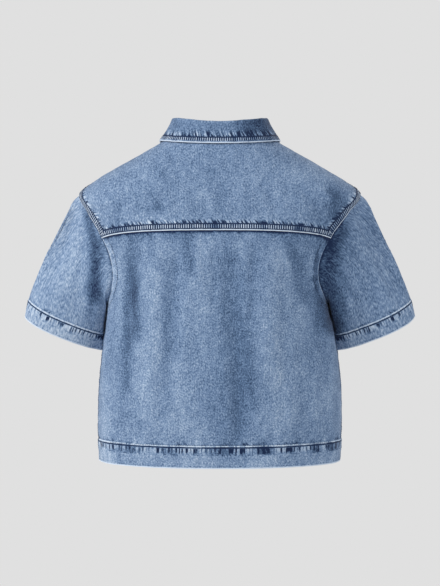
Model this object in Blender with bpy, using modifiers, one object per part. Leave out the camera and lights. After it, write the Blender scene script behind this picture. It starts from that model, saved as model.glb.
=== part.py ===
"""Child's short-sleeved denim shirt, buttoned, in the hollow form that it has when worn.

Metres, +Z up. The front faces -Y and the wearer's left is +X. The origin is the middle of the
neck, level with the two points where the shoulders meet the collar. Every piece of cloth is a
grid laid on a named surface and given its wall along that surface's normals, so pieces that
share a seam share its points and stand SEAM_GAP apart.
"""

import bmesh
import bpy
import numpy as np
from math import pi, radians
from mathutils import Vector

MM = 0.001

# Cloth
CLOTH = 1.5 * MM
SEAM_GAP = 0.3 * MM
HEM_RAISE = 0.9 * MM  # a turned hem over the plain wall
BAND_RAISE = 0.8 * MM  # a felled seam over the plain wall
BAND_WIDTH = 9 * MM
RAISE_STEP = 1 * MM  # how far a raised edge takes to drop to the plain wall
COLLAR_PLY = 2.2 * MM

# Body
HEM_LEVEL = -443.5 * MM
HEM_HEIGHT = 30 * MM
UNDERARM_LEVEL = -226 * MM
SHOULDER_LEVEL = -72 * MM
NECK_LEVEL = 6 * MM
HALF_ARMHOLE = (SHOULDER_LEVEL - UNDERARM_LEVEL) / 2
ROUNDNESS = 2.35  # exponent of the rings: 2 is an ellipse, more is squarer
YOKE_TURN = radians(78)  # where the yoke seam meets the armhole, turned from the armhole's top
YOKE_ARCH = 15 * MM
SHOULDER_SEAM_FORWARD = 14 * MM
BACK_COLUMNS = 30
FRONT_COLUMNS = 12
BAND_COLUMNS = 1  # even columns that the seam band's own columns replace
EDGE_PULL = 6  # how close to an armhole a panel's columns keep before they follow it

# Armholes, as half-widths in angle round the body
ARMHOLE_BACK = {1: radians(27), -1: radians(33)}
ARMHOLE_FRONT = radians(34)
ARMHOLE_LEAN = radians(-4)

# Front opening
PLACKET_WIDTH = 30 * MM
PLACKET_PLY = 1.2 * MM
LAP = 2.8 * MM  # how far the left front stands over the right one
LAP_BLEND = 24 * MM
BUTTONS = 5
BUTTON_RADIUS = 8.5 * MM
BUTTON_HEIGHT = 4.5 * MM
BUTTON_TOP_Z = -92 * MM
BUTTON_LOW_Z = -392 * MM
BUTTON_SEAT = 0.5 * MM  # clear of the placket's flats, which lie a little inside its curve
BUTTON_SIDES = 14

# Sleeves
SLEEVE_HEM = 24.5 * MM
SLEEVE_CLEARANCE = 6.5 * MM
CUFF_CENTRE = np.array((213.5, -29, -265)) * MM
CUFF_LONG = np.array((0.910, 0.252, 0.329)) * 64.5 * MM
CUFF_SHORT = np.array((-0.156, 0.91, -0.38)) * 35 * MM
SLEEVE_EASE = 0.7  # how long the sleeve keeps to the armhole's direction before it drops
SLEEVE_ROWS = (0, 0.03, 0.08, 0.16, 0.28, 0.42, 0.57, 0.71, 0.85, 1)  # shares of the way to the hem

# Collar
STAND_TOP = {"width": 61.5 * MM, "back": 47 * MM, "front": 42 * MM}
STAND_TOP_Z = {"side": 28.5 * MM, "back": 20.5 * MM, "front": -26 * MM}
ROLL_RADIUS = 2.5 * MM
ROLL_RISE = 1.5 * MM
ROLL_STEPS = 4
LEAF_ROWS = 4
LEAF_SPRING = 1.0  # how straight down the fall starts before it leans out
FALL_LIFT = 1.2 * MM  # clear height of the fall's edge over the yoke and fronts

COLOURS = {
    "denim": (0.19, 0.29, 0.43),
    "denim_pale": (0.24, 0.35, 0.50),
    "denim_deep": (0.15, 0.24, 0.37),
    "button_metal": (0.34, 0.30, 0.26),
}


def table(header, *rows):
    """Rows in millimetres, or in degrees where a column's name ends in _deg, as named arrays."""
    columns = np.array(rows, float).T
    names = header.split()
    units = [radians(1) if name.endswith("_deg") else MM for name in names]
    return {name: column * unit for name, column, unit in zip(names, columns, units)}


# A ring for each row, named by the height of its two sides, from the hem to the neck
BODY = table(
    "level width back front back_z front_z right_tuck",
    (-443.5, 165.5, 91, 87, -447, -447, 0),
    (-400, 167.5, 92.5, 88.5, -400, -400, 0),
    (-340, 166.5, 93, 89, -340, -340, 0),
    (-290, 162.5, 92.5, 89, -290, -290, 1),
    (-250, 157.5, 92, 88.5, -250, -250, 4),
    (-215, 154, 91.5, 88, -215, -216, 8),
    (-185, 155.5, 91, 87, -186, -187, 9.5),
    (-155, 163, 90, 85.5, -157, -160, 7),
    (-125, 175, 88, 83, -131, -138, 4),
    (-95, 187, 85.5, 79, -107, -118, 2),
    (-72, 193.5, 82, 74.5, -87, -102, 0),
    (-54, 173, 77.5, 70, -66, -88, 0),
    (-40, 149.5, 72.5, 65.5, -50, -78, 0),
    (-18, 111, 64, 57, -25, -63, 0),
    (-2, 83, 57, 50, -7, -53, 0),
    (6, 70, 51, 44, 0, -47, 0),
)

# Folds that run down the cloth: a trough has a negative depth
BACK_FOLDS = table(
    "top_x top_z low_x low_z width depth",
    (119, -142, 130, -312, 13, -4.0),
    (94, -150, 92, -395, 15, 3.0),
    (60, -148, 70, -360, 12, -2.4),
    (30, -148, 30, -230, 12, 1.8),
    (-14, -156, -27, -405, 15, -4.2),
    (-68, -146, -66, -330, 17, 2.6),
    (-94, -143, -123, -222, 11, -3.0),
    (-112, -260, -118, -410, 15, -2.2),
)
FRONT_FOLDS = table(
    "top_x top_z low_x low_z width depth",
    (110, -150, 121, -330, 14, -3.6),
    (78, -190, 72, -400, 16, 2.6),
    (44, -170, 50, -340, 12, -2.2),
    (-46, -200, -38, -390, 13, -2.2),
    (-80, -160, -74, -380, 16, 2.8),
    (-108, -155, -122, -300, 14, -3.4),
)
FOLD_FADE = 38 * MM

# The sleeve's folds run from the armhole to the hem, at an angle round it from its top
SLEEVE_FOLDS = table(
    "turn_deg width_deg depth",
    (52, 13, 2.2),
    (84, 15, -4.5),
    (118, 12, 2.0),
    (232, 14, 2.2),
    (264, 16, -4.2),
    (300, 13, 1.8),
)

# How far the sleeve bows out of the straight line from armhole to hem
SLEEVE_BOW = {
    "along": np.array((0, 0.12, 0.27, 0.5, 0.7, 0.87, 1)),
    "out": np.array((0, 6.0, 8.6, 8.4, 7.4, 5.0, 0)) * MM,
}

# The fall's edge lies on the yoke and the fronts
FALL = table(
    "roll_deg edge_deg edge_level",
    (-42, -40, -2.5),
    (0, 0, -2.5),
    (42, 40, -2.5),
    (80, 79, -1.5),
    (108, 103, -2),
    (134, 127, -9.5),
    (155, 147, -23),
    (168, 163, -45),
)


def smooth(at, places, values):
    """A curve through (places, values), read at each place in `at`."""
    places, values = np.asarray(places, float), np.asarray(values, float)
    slopes = np.gradient(values, places)
    first = np.clip(np.searchsorted(places, at) - 1, 0, len(places) - 2)
    span = places[first + 1] - places[first]
    t = np.clip((at - places[first]) / span, 0, 1)
    near = (1 + 2 * t) * (1 - t) ** 2 * values[first] + t * (1 - t) ** 2 * span * slopes[first]
    far = t * t * (3 - 2 * t) * values[first + 1] - t * t * (1 - t) * span * slopes[first + 1]
    return near + far


def ramp(value, low, high):
    """0 below low, 1 above high and a soft rise between them."""
    t = np.clip((value - low) / (high - low), 0, 1)
    return t * t * (3 - 2 * t)


def unit(vectors):
    return vectors / np.linalg.norm(vectors, axis=-1, keepdims=True)


def ring_factor(angle):
    """What turns an ellipse's radius into that of a ring with squarer shoulders."""
    return (abs(np.sin(angle)) ** ROUNDNESS + abs(np.cos(angle)) ** ROUNDNESS) ** (-1 / ROUNDNESS)


def ring_point(angle, width, back, front, side_z, back_z, front_z):
    """Point of one ring: angle 0 is the centre back, +90 degrees the wearer's left."""
    sine, cosine = np.sin(angle), np.cos(angle)
    depth = np.where(cosine > 0, back, front)
    end_z = np.where(cosine > 0, back_z, front_z)
    factor = ring_factor(angle)
    x, y = width * sine * factor, depth * cosine * factor
    return np.stack([x, y, side_z + (end_z - side_z) * cosine**2], axis=-1)


def plain_body(angle, level):
    angle, level = np.broadcast_arrays(angle, level)
    size = {name: smooth(level, BODY["level"], BODY[name]) for name in BODY}
    tuck = np.where(np.sin(angle) < 0, size["right_tuck"] * np.sin(angle) ** 2, 0)
    return ring_point(
        angle, size["width"] - tuck, size["back"], size["front"], level, size["back_z"], size["front_z"]
    )


def body_normal(angle, level):
    turn, rise = radians(0.5), 0.5 * MM
    along = plain_body(angle + turn, level) - plain_body(angle - turn, level)
    up = plain_body(angle, level + rise) - plain_body(angle, level - rise)
    return unit(np.cross(up, along))


def fold_depth(points, folds):
    """Sum of the folds at these points, each a soft trough or ridge along its line."""
    x, z = points[..., 0], points[..., 2]
    depth = np.zeros_like(x)
    for top_x, top_z, low_x, low_z, width, most in zip(*folds.values()):
        line_x = low_x + (top_x - low_x) * (z - low_z) / (top_z - low_z)
        within = ramp(z, low_z - FOLD_FADE / 2, low_z + FOLD_FADE)
        within = within * (1 - ramp(z, top_z - FOLD_FADE, top_z + FOLD_FADE / 2))
        depth += most * within * np.exp(-(((x - line_x) / width) ** 2))
    return depth


def body(angle, level):
    """Points and normals of the body's plain inner face, folds and all."""
    points, normals = plain_body(angle, level), body_normal(angle, level)
    back = fold_depth(points, BACK_FOLDS) * (points[..., 1] > 0)
    front = fold_depth(points, FRONT_FOLDS) * (points[..., 1] < 0)
    return points + normals * (back + front)[..., None], normals


def angle_at(x, level):
    """Angle past the centre of a ring at which it is x from the centre."""
    share = (x / smooth(level, BODY["level"], BODY["width"])) ** ROUNDNESS
    return np.arctan((share / (1 - share)) ** (1 / ROUNDNESS))


def armhole(side, turn):
    """Angle from the centre back and level of the armhole's edge, turned from its top by its back."""
    middle = (SHOULDER_LEVEL + UNDERARM_LEVEL) / 2
    widest = np.where(np.sin(turn) > 0, ARMHOLE_BACK[side], ARMHOLE_FRONT)
    spread = np.sin(turn) * (widest + ARMHOLE_LEAN * np.cos(turn))
    return pi / 2 - spread, middle + HALF_ARMHOLE * np.cos(turn)


def shoulder_seam(level):
    """Angle from the centre back to the shoulder seam, which runs just in front of the ridge."""
    depth = smooth(level, BODY["level"], BODY["front"])
    forward = SHOULDER_SEAM_FORWARD * ramp(level, SHOULDER_LEVEL, SHOULDER_LEVEL + 18 * MM)
    return pi / 2 + np.arcsin(forward / depth)


# Rows that all the pieces share, so that each seam has the same points on both sides
LOW_LEVELS = np.concatenate([
    [HEM_LEVEL, HEM_LEVEL + HEM_HEIGHT, HEM_LEVEL + HEM_HEIGHT + RAISE_STEP],
    np.linspace(HEM_LEVEL + HEM_HEIGHT + RAISE_STEP, UNDERARM_LEVEL, 9)[1:-1],
])
HIGH_LEVELS = SHOULDER_LEVEL + (NECK_LEVEL - SHOULDER_LEVEL) * np.linspace(0, 1, 7)[1:] ** 1.2
LOW_TURNS = np.linspace(pi, YOKE_TURN, 9)
BAND_EDGES = np.array((BAND_WIDTH, BAND_WIDTH + RAISE_STEP))
BAND_TURNS = np.arccos(np.cos(YOKE_TURN) + BAND_EDGES / HALF_ARMHOLE)
YOKE_TURNS = np.concatenate([[YOKE_TURN], BAND_TURNS, np.linspace(YOKE_TURN, 0, 6)[1:]])
FRONT_TURNS = -np.linspace(pi, 0, 13)


def even_angles(count, start, end, level=HEM_LEVEL):
    """Angles from start to end that stand evenly apart along a ring."""
    fine = np.linspace(start, end, 400)
    steps = np.linalg.norm(np.diff(plain_body(fine, level), axis=0), axis=1)
    length = np.concatenate([[0], np.cumsum(steps)])
    return np.interp(np.linspace(0, length[-1], count + 1), length, fine)


def settled(level, narrow):
    """Edge angle that a panel's inner columns keep to, which narrows slowly towards the armholes."""
    return pi / 2 + (narrow - pi / 2) * ramp(level, UNDERARM_LEVEL - 105 * MM, UNDERARM_LEVEL + 55 * MM)


def grid_normals(points, closed=False):
    """Unit normals of a grid of points; a closed grid's last column repeats its first."""
    down = np.gradient(points, axis=0)
    if closed:
        ring = points[:, :-1]
        across = np.roll(ring, -1, axis=1) - np.roll(ring, 1, axis=1)
        across = np.concatenate([across, across[:, :1]], axis=1)
    else:
        across = np.gradient(points, axis=1)
    return unit(np.cross(down, across))


def inward(points, normals, edge):
    """Directions along the cloth from one edge of a grid into the grid."""
    grids = {
        "low": (points[0], points[1], normals[0]),
        "high": (points[-1], points[-2], normals[-1]),
        "first": (points[:, 0], points[:, 1], normals[:, 0]),
        "last": (points[:, -1], points[:, -2], normals[:, -1]),
    }
    line, inner, line_normals = grids[edge]
    across = unit(np.cross(line_normals, np.gradient(line, axis=0)))
    return across * np.sign(np.sum(across * (inner - line), axis=1))[:, None]


def seam_inset(points, normals, edges):
    """The grid with the named edges moved in along the cloth by half the seam gap."""
    moved = points.copy()
    rows = {"low": 0, "high": -1}
    ends = {"first": 0, "last": -1}
    for edge in edges.split():
        shift = inward(points, normals, edge) * SEAM_GAP / 2
        if edge in rows:
            moved[rows[edge]] += shift
        else:
            moved[:, ends[edge]] += shift
    return moved


def turned_edge(points, normals, onward, turn, thickness):
    """First row of a wall sewn to an edge and turned outwards from it by an angle."""
    sine, cosine = np.sin(turn)[:, None], np.cos(turn)[:, None]
    inner = points + onward * (SEAM_GAP + thickness * sine)
    return inner, inner + (normals * cosine - onward * sine) * thickness


def add_material(name, colour, metallic=0.0, roughness=0.9):
    material = bpy.data.materials.new(name)
    material.use_nodes = True
    shader = material.node_tree.nodes["Principled BSDF"]
    shader.inputs["Base Color"].default_value = (*colour, 1)
    shader.inputs["Metallic"].default_value = metallic
    shader.inputs["Roughness"].default_value = roughness
    return material


def add_wall(name, inner, outer, material, collection):
    """A closed wall between two grids of points, each of rows by columns."""
    rows, columns = inner.shape[:2]
    inner, outer = inner.reshape(-1, 3), outer.reshape(-1, 3)
    mesh = bmesh.new()
    bmesh.ops.create_grid(mesh, x_segments=columns - 1, y_segments=rows - 1, size=1)
    place = mesh.verts.layers.int.new("place")
    mesh.verts.ensure_lookup_table()
    for number, vertex in enumerate(mesh.verts):
        vertex[place] = number
        vertex.co = inner[number]
    bmesh.ops.remove_doubles(mesh, verts=mesh.verts[:], dist=0.01 * MM)
    lifted = bmesh.ops.extrude_face_region(mesh, geom=mesh.faces[:], use_keep_orig=True)
    for element in lifted["geom"]:
        if isinstance(element, bmesh.types.BMVert):
            element.co = outer[element[place]]
    bmesh.ops.recalc_face_normals(mesh, faces=mesh.faces[:])
    data = bpy.data.meshes.new(name)
    mesh.to_mesh(data)
    mesh.free()
    data.materials.append(material)
    data.shade_smooth()
    data.set_sharp_from_angle(angle=radians(40))
    piece = bpy.data.objects.new(name, data)
    collection.objects.link(piece)
    return piece


def arch(share, level, low, high):
    """How much of the yoke seam's arch reaches a row: all at `high`, none at `low`."""
    reach = np.clip((level - low) / (high - low), 0, 1)
    return YOKE_ARCH * (1 - share**2) * reach


def half_back(side, edge, levels):
    """Angles of the back's columns from the centre to one side, with a column for its seam band."""
    even = even_angles(BACK_COLUMNS // 2, 0, pi / 2)
    share = even[: -BAND_COLUMNS] / even[-BAND_COLUMNS]
    band = edge[:, None] - (BAND_EDGES / BODY["back"][0])[::-1]
    inner = settled(levels, pi / 2 - ARMHOLE_BACK[side])[:, None]
    inner = share * (inner + (band[:, :1] - inner) * share**EDGE_PULL)
    return side * np.concatenate([inner, band, edge[:, None]], axis=1)


def back_grid(turns, levels_below, levels_above, low, high):
    """Angles and levels of a panel that spans the back between both armholes."""
    halves = []
    for side in (-1, 1):
        edge, edge_level = armhole(side, turns)
        edge = np.concatenate([np.full(len(levels_below), pi / 2), edge, shoulder_seam(levels_above)])
        levels = np.concatenate([levels_below, edge_level, levels_above])
        halves.append(half_back(side, edge, levels))
    angle = np.concatenate([halves[0][:, :0:-1], halves[1]], axis=1)
    share = angle / np.where(angle < 0, -angle[:, :1], angle[:, -1:])
    return angle, levels[:, None] + arch(share, levels[:, None], low, high)


def raised_rows(count, rows, height):
    """Extra thickness for the rows of a turned hem or a felled seam."""
    extra = np.zeros(count)
    extra[list(rows)] = height
    return extra[:, None]


def build_back(materials, collection):
    yoke_end, band_end = armhole(1, YOKE_TURNS[[0, 2]])[1]
    angle, level = back_grid(LOW_TURNS, LOW_LEVELS, np.array([]), UNDERARM_LEVEL, yoke_end)
    points, normals = body(angle, level)
    points = seam_inset(points, normals, "high first last")
    extra = raised_rows(len(points), (0, 1), HEM_RAISE) + np.zeros(points.shape[1])
    extra[:, (0, 1, -2, -1)] = np.maximum(extra[:, (0, 1, -2, -1)], BAND_RAISE)
    outer = points + normals * (CLOTH + extra)[..., None]
    add_wall("back_body", points, outer, materials["denim"], collection)

    angle, level = back_grid(YOKE_TURNS, np.array([]), HIGH_LEVELS, SHOULDER_LEVEL, band_end)
    points, normals = body(angle, level)
    inner = seam_inset(points, normals, "low first last")
    extra = raised_rows(len(points), (0, 1), BAND_RAISE) + np.zeros(points.shape[1])
    extra[:, (0, 1, -2, -1)] = BAND_RAISE
    outer = inner + normals * (CLOTH + extra)[..., None]
    add_wall("back_yoke", inner, outer, materials["denim_deep"], collection)
    return points, normals, angle


def front_grid(side):
    """Angles and levels of one front, from its side seam to PLACKET_WIDTH / 2 past the centre."""
    spread, edge_level = armhole(side, FRONT_TURNS)
    levels = np.concatenate([LOW_LEVELS, edge_level, HIGH_LEVELS])
    edge = np.concatenate([np.full(len(LOW_LEVELS), pi / 2), spread, shoulder_seam(HIGH_LEVELS)])
    lap = angle_at(PLACKET_WIDTH / 2, levels)
    share = np.linspace(0, 1, FRONT_COLUMNS + 1)
    start = settled(levels, pi / 2 + ARMHOLE_FRONT)
    start = np.where(levels > SHOULDER_LEVEL, edge, start)[:, None]
    angle = start + (pi - lap[:, None] - start) * share
    angle += (edge[:, None] - start) * (1 - share) ** EDGE_PULL
    angle = np.column_stack([angle, np.full(len(levels), pi), pi + lap])
    return side * angle, levels[:, None] + np.zeros_like(angle)


def lap_lift(points):
    """How far the left side's pieces stand out to lie over the right side's at the centre front."""
    return LAP * (1 - ramp(points[..., 0], PLACKET_WIDTH / 2 + 2 * MM, PLACKET_WIDTH / 2 + LAP_BLEND))


def build_front(side, materials, collection):
    name = "front_left" if side > 0 else "front_right"
    angle, level = front_grid(side)
    points, normals = body(angle, level)
    if side > 0:
        points = points + normals * lap_lift(points)[..., None]
    inner = seam_inset(points, normals, "first")
    extra = raised_rows(len(points), (0, 1), HEM_RAISE)
    outer = inner + normals * (CLOTH + extra)[..., None]
    add_wall(name, inner, outer, materials["denim"], collection)
    if side > 0:
        under = (outer + normals * SEAM_GAP)[:, -3:]
        over = under + normals[:, -3:] * PLACKET_PLY
        add_wall("front_placket", under, over, materials["denim_pale"], collection)
    return points, normals, angle


def clear_of_body(points, wanted):
    """Moves points level outwards until they stand `wanted` clear of the body's plain face."""
    x, y, z = np.moveaxis(points, -1, 0)
    size = {name: smooth(z, BODY["level"], BODY[name]) for name in BODY}
    width = size["width"] - np.where(x < 0, size["right_tuck"], 0)
    depth = np.where(y > 0, size["back"], size["front"])
    ratio = (abs(x / width) ** ROUNDNESS + abs(y / depth) ** ROUNDNESS) ** (1 / ROUNDNESS)
    slope_x = np.sign(x) * abs(x / width) ** (ROUNDNESS - 1) / width
    slope_y = np.sign(y) * abs(y / depth) ** (ROUNDNESS - 1) / depth
    slope = np.hypot(slope_x, slope_y)
    short = np.clip(wanted - (ratio - 1) / (slope * ratio ** (1 - ROUNDNESS)), 0, None)
    push = np.stack([slope_x / slope, slope_y / slope, np.zeros_like(x)], axis=-1)
    return points + push * short[..., None]


def sleeve_curves(start, leaving, end, share):
    """Curves from the armhole to the cuff that leave along `leaving` and end along the arm."""
    reach = np.linalg.norm(end - start, axis=-1, keepdims=True)
    arm = unit(np.mean(end - start, axis=0))
    t = share[..., None]
    near = (2 * t**3 - 3 * t**2 + 1) * start + (t**3 - 2 * t**2 + t) * leaving * reach * SLEEVE_EASE
    return near + (3 * t**2 - 2 * t**3) * end + (t**3 - t**2) * arm * reach


def sleeve_bulge(turns, share):
    """How far the sleeve stands out of its plain curves: its bow at the top, and its folds."""
    bow = smooth(share, SLEEVE_BOW["along"], SLEEVE_BOW["out"]) * (1 + np.cos(turns)) / 2
    for turn, width, depth in zip(*SLEEVE_FOLDS.values()):
        bow = bow + depth * np.sin(pi * share) * np.exp(-(((turns - turn) / width) ** 2))
    return bow[..., None]


def build_sleeve(side, materials, collection):
    turns = np.concatenate([YOKE_TURNS[::-1], LOW_TURNS[::-1][1:], 2 * pi + FRONT_TURNS[1:]])
    angle, level = armhole(side, turns)
    edge, edge_normals = body(side * angle, level)
    around = np.roll(edge[:-1], -1, axis=0) - np.roll(edge[:-1], 1, axis=0)
    onward = unit(np.cross(np.concatenate([around, around[:1]]), edge_normals)) * side
    under = (((1 - np.cos(turns)) / 2) ** 2)[:, None]
    first_inner, first_outer = turned_edge(edge, edge_normals, onward, under[:, 0] * pi / 2, CLOTH)

    cuff = CUFF_CENTRE + np.cos(turns)[:, None] * CUFF_LONG + np.sin(turns)[:, None] * CUFF_SHORT
    cuff = cuff * np.array((side, 1, 1))
    leaving = unit(onward * (1 - under) + edge_normals * under)
    reach = np.linalg.norm(cuff - edge, axis=1)
    hem = 1 - SLEEVE_HEM / reach
    share = np.stack([hem * row for row in SLEEVE_ROWS] + [hem + RAISE_STEP / reach, hem / hem])
    points = sleeve_curves(first_inner, leaving, cuff, share)
    middle = np.mean(points[:, :-1], axis=1, keepdims=True)
    points = points + unit(points - middle) * sleeve_bulge(turns, share)
    away = np.linalg.norm(points - edge, axis=-1)
    wanted = np.minimum(SLEEVE_CLEARANCE, away / 2) * ramp(under[:, 0], 0.2, 0.5)
    points = clear_of_body(points, wanted)

    normals = grid_normals(points, closed=True) * side
    extra = raised_rows(len(points), (-1, -2), HEM_RAISE)
    outer = points + normals * (CLOTH + extra)[..., None]
    points[0], outer[0] = first_inner, first_outer
    name = "sleeve_left" if side > 0 else "sleeve_right"
    add_wall(name, points, outer, materials["denim"], collection)


def ring(size, heights, angle):
    """Point of a plain collar ring."""
    return ring_point(
        angle, size["width"], size["back"], size["front"],
        heights["side"], heights["back"], heights["front"],
    )


def build_collar(neck, materials, collection):
    """The stand, sewn to the neck's edge, and the fall, which rolls over it and lies outside."""
    points, normals, onward, angle = neck
    lift = lap_lift(points) * (angle > pi / 2)
    top = ring(STAND_TOP, STAND_TOP_Z, angle)
    outwards = unit(top * np.array((1, 1, 0)))
    top = top + outwards * lift[:, None]
    rise = unit(top - points)
    turn = np.arctan2(np.sum(rise * normals, axis=1), np.sum(rise * onward, axis=1))
    first_inner, first_outer = turned_edge(points, normals, onward, turn, COLLAR_PLY)
    inner = np.stack([first_inner, (first_inner + top) / 2, top])
    outer = inner + grid_normals(inner) * COLLAR_PLY
    outer[0] = first_outer
    add_wall("collar_stand", inner, outer, materials["denim_pale"], collection)
    stand_button_seat = outer[1, -2], grid_normals(outer)[1, -2]

    mine = abs(angle) < pi - angle_at(PLACKET_WIDTH / 2, NECK_LEVEL) + 0.001
    side, angle = np.sign(angle[mine]), abs(angle[mine])
    edge_angle = smooth(angle, FALL["roll_deg"], FALL["edge_deg"]) * side
    edge, edge_normals = body(edge_angle, smooth(angle, FALL["roll_deg"], FALL["edge_level"]))
    over = CLOTH + FALL_LIFT + COLLAR_PLY / 2 + lap_lift(edge) * (edge_angle > pi / 2)
    edge = edge + edge_normals * over[:, None]
    start, away = (inner[-1] + outer[-1])[mine] / 2, unit(outer[-1] - inner[-1])[mine]
    up = unit(inner[-1] - inner[-2])[mine]
    rows = [start + up * height for height in (SEAM_GAP, ROLL_RISE)]
    for bend in pi - np.linspace(0, pi, ROLL_STEPS + 1)[1:-1]:
        rows.append(rows[1] + (away * (1 + np.cos(bend)) + up * np.sin(bend)) * ROLL_RADIUS)
    leaf = rows[1] + away * 2 * ROLL_RADIUS
    length = np.linalg.norm(edge - leaf, axis=1, keepdims=True)
    for t in np.linspace(0, 1, LEAF_ROWS + 1):
        spring = (leaf - edge - up * length) * t * (1 - t) ** 2 * LEAF_SPRING
        rows.append(leaf * (1 - t) + edge * t + spring)
    centre = np.stack(rows)
    half_ply = grid_normals(centre) * COLLAR_PLY / 2
    add_wall("collar_fall", centre + half_ply, centre - half_ply, materials["denim"], collection)
    return stand_button_seat


def add_button(name, place, facing, material, collection):
    """A plain tack button: a turned cap with a rolled rim on a short shank."""
    radius, height = BUTTON_RADIUS, BUTTON_HEIGHT
    profile = (
        (0, height * 0.86), (radius * 0.72, height * 0.86), (radius * 0.86, height),
        (radius, height * 0.82), (radius * 0.96, height * 0.5), (radius * 0.45, height * 0.36),
        (radius * 0.45, 0), (0, 0),
    )
    data = bpy.data.meshes.new(name)
    edges = [(i, i + 1) for i in range(len(profile) - 1)]
    data.from_pydata([(x, 0, z) for x, z in profile], edges, [])
    data.materials.append(material)
    button = bpy.data.objects.new(name, data)
    turning = button.modifiers.new("Turned", "SCREW")
    turning.steps = turning.render_steps = BUTTON_SIDES
    turning.use_merge_vertices = True
    turning.merge_threshold = 0.00001
    button.location = place
    button.rotation_euler = Vector(facing).to_track_quat("Z", "Y").to_euler()
    collection.objects.link(button)


def build_buttons(stand_front, materials, collection):
    under = LAP + CLOTH + SEAM_GAP + PLACKET_PLY + BUTTON_SEAT
    heights = np.linspace(BUTTON_TOP_Z, BUTTON_LOW_Z, BUTTONS)
    for number, height in enumerate(heights, start=1):
        place, facing = body(pi, smooth(height, BODY["front_z"], BODY["level"]))
        add_button(
            f"button_{number}", place + facing * under, facing, materials["button_metal"], collection
        )
    place, facing = stand_front
    add_button("button_stand", place + facing * BUTTON_SEAT, facing, materials["button_metal"], collection)


def neck_edge(right, yoke, left):
    """The neck's edge from the right front's end, round the back, to the left front's end."""
    parts = []
    for (points, normals, angle), order in ((right, -1), (yoke, 1), (left, 1)):
        away = -inward(points, normals, "high")
        parts.append([rows[::order] for rows in (points[-1], normals[-1], away, angle[-1])])
    (right_rows, yoke_rows, left_rows) = parts
    return [
        np.concatenate([a, b[1:-1], c]) for a, b, c in zip(right_rows, yoke_rows, left_rows)
    ]


def clear_scene():
    for piece in list(bpy.data.objects):
        bpy.data.objects.remove(piece, do_unlink=True)


def main():
    clear_scene()
    collection = bpy.data.collections.new("Denim shirt")
    bpy.context.scene.collection.children.link(collection)
    materials = {name: add_material(name, colour) for name, colour in COLOURS.items()}
    metal = materials["button_metal"].node_tree.nodes["Principled BSDF"]
    metal.inputs["Metallic"].default_value = 1.0
    metal.inputs["Roughness"].default_value = 0.4

    yoke = build_back(materials, collection)
    left = build_front(1, materials, collection)
    right = build_front(-1, materials, collection)
    for side in (1, -1):
        build_sleeve(side, materials, collection)
    stand_front = build_collar(neck_edge(right, yoke, left), materials, collection)
    build_buttons(stand_front, materials, collection)


if __name__ == "__main__":
    main()
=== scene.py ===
"""The looks of a child's short-sleeved denim shirt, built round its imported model.

Metres, +Z up. The front faces -Y and the wearer's left is +X. Each piece of cloth is a fine grid
on the same surface as its solid, with its creases, seams and puckers in its own points.
"""

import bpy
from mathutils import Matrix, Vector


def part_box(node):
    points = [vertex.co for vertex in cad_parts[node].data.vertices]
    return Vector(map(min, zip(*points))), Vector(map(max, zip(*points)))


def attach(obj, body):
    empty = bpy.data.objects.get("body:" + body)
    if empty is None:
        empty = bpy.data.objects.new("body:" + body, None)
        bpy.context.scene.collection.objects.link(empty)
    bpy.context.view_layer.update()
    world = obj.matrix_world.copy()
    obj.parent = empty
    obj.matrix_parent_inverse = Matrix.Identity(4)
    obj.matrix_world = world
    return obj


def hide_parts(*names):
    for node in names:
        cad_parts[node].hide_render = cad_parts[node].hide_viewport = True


bl_info = {
    "name": "Denim shirt",
    "version": (1, 0, 0),
    "blender": (4, 5, 0),
    "location": "3D View > Sidebar > Shirt",
    "description": "Cloth, stitching, buttons and studio of a worn denim shirt",
    "category": "Object",
}

from math import pi, radians

import bpy
import numpy as np
from mathutils import Vector

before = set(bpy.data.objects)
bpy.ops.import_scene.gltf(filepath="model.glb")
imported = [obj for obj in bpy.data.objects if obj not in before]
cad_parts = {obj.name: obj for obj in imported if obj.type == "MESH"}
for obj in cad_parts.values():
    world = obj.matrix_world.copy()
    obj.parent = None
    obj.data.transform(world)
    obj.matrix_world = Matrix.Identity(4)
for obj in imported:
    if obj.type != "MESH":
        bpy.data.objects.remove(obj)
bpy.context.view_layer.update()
MM = 0.001

# The cut, as in the solids
CLOTH = 1.5 * MM  # outer face of the plain cloth over the surface that the pieces are laid on
SEAM_GAP = 0.3 * MM
COLLAR_PLY = 2.2 * MM
HEM_LEVEL = -443.5 * MM
HEM_HEIGHT = 30 * MM
UNDERARM_LEVEL = -226 * MM
SHOULDER_LEVEL = -72 * MM
NECK_LEVEL = 6 * MM
MIDDLE_LEVEL = (SHOULDER_LEVEL + UNDERARM_LEVEL) / 2
HALF_ARMHOLE = (SHOULDER_LEVEL - UNDERARM_LEVEL) / 2
ROUNDNESS = 2.35
YOKE_TURN = radians(78)
YOKE_ARCH = 15 * MM
SHOULDER_SEAM_FORWARD = 14 * MM
ARMHOLE_BACK = {1: radians(27), -1: radians(33)}
ARMHOLE_FRONT = radians(34)
ARMHOLE_LEAN = radians(-4)
PLACKET_WIDTH = 30 * MM
PLACKET_PLY = 1.2 * MM
LAP = 2.8 * MM
LAP_BLEND = 24 * MM
BUTTONS = 5
BUTTON_RADIUS = 8.5 * MM
BUTTON_HEIGHT = 4.5 * MM
BUTTON_TOP_Z = -92 * MM
BUTTON_LOW_Z = -392 * MM
BUTTON_SEAT = 0.5 * MM
SLEEVE_HEM = 24.5 * MM
SLEEVE_CLEARANCE = 6.5 * MM
CUFF_CENTRE = np.array((213.5, -29, -265)) * MM
CUFF_LONG = np.array((0.910, 0.252, 0.329)) * 64.5 * MM
CUFF_SHORT = np.array((-0.156, 0.91, -0.38)) * 35 * MM
SLEEVE_EASE = 0.7
STAND_TOP = 61.5 * MM, 47 * MM, 42 * MM  # half width, and depth to the back and the front
STAND_TOP_Z = 28.5 * MM, 20.5 * MM, -26 * MM  # at the sides, the back and the front
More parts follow.
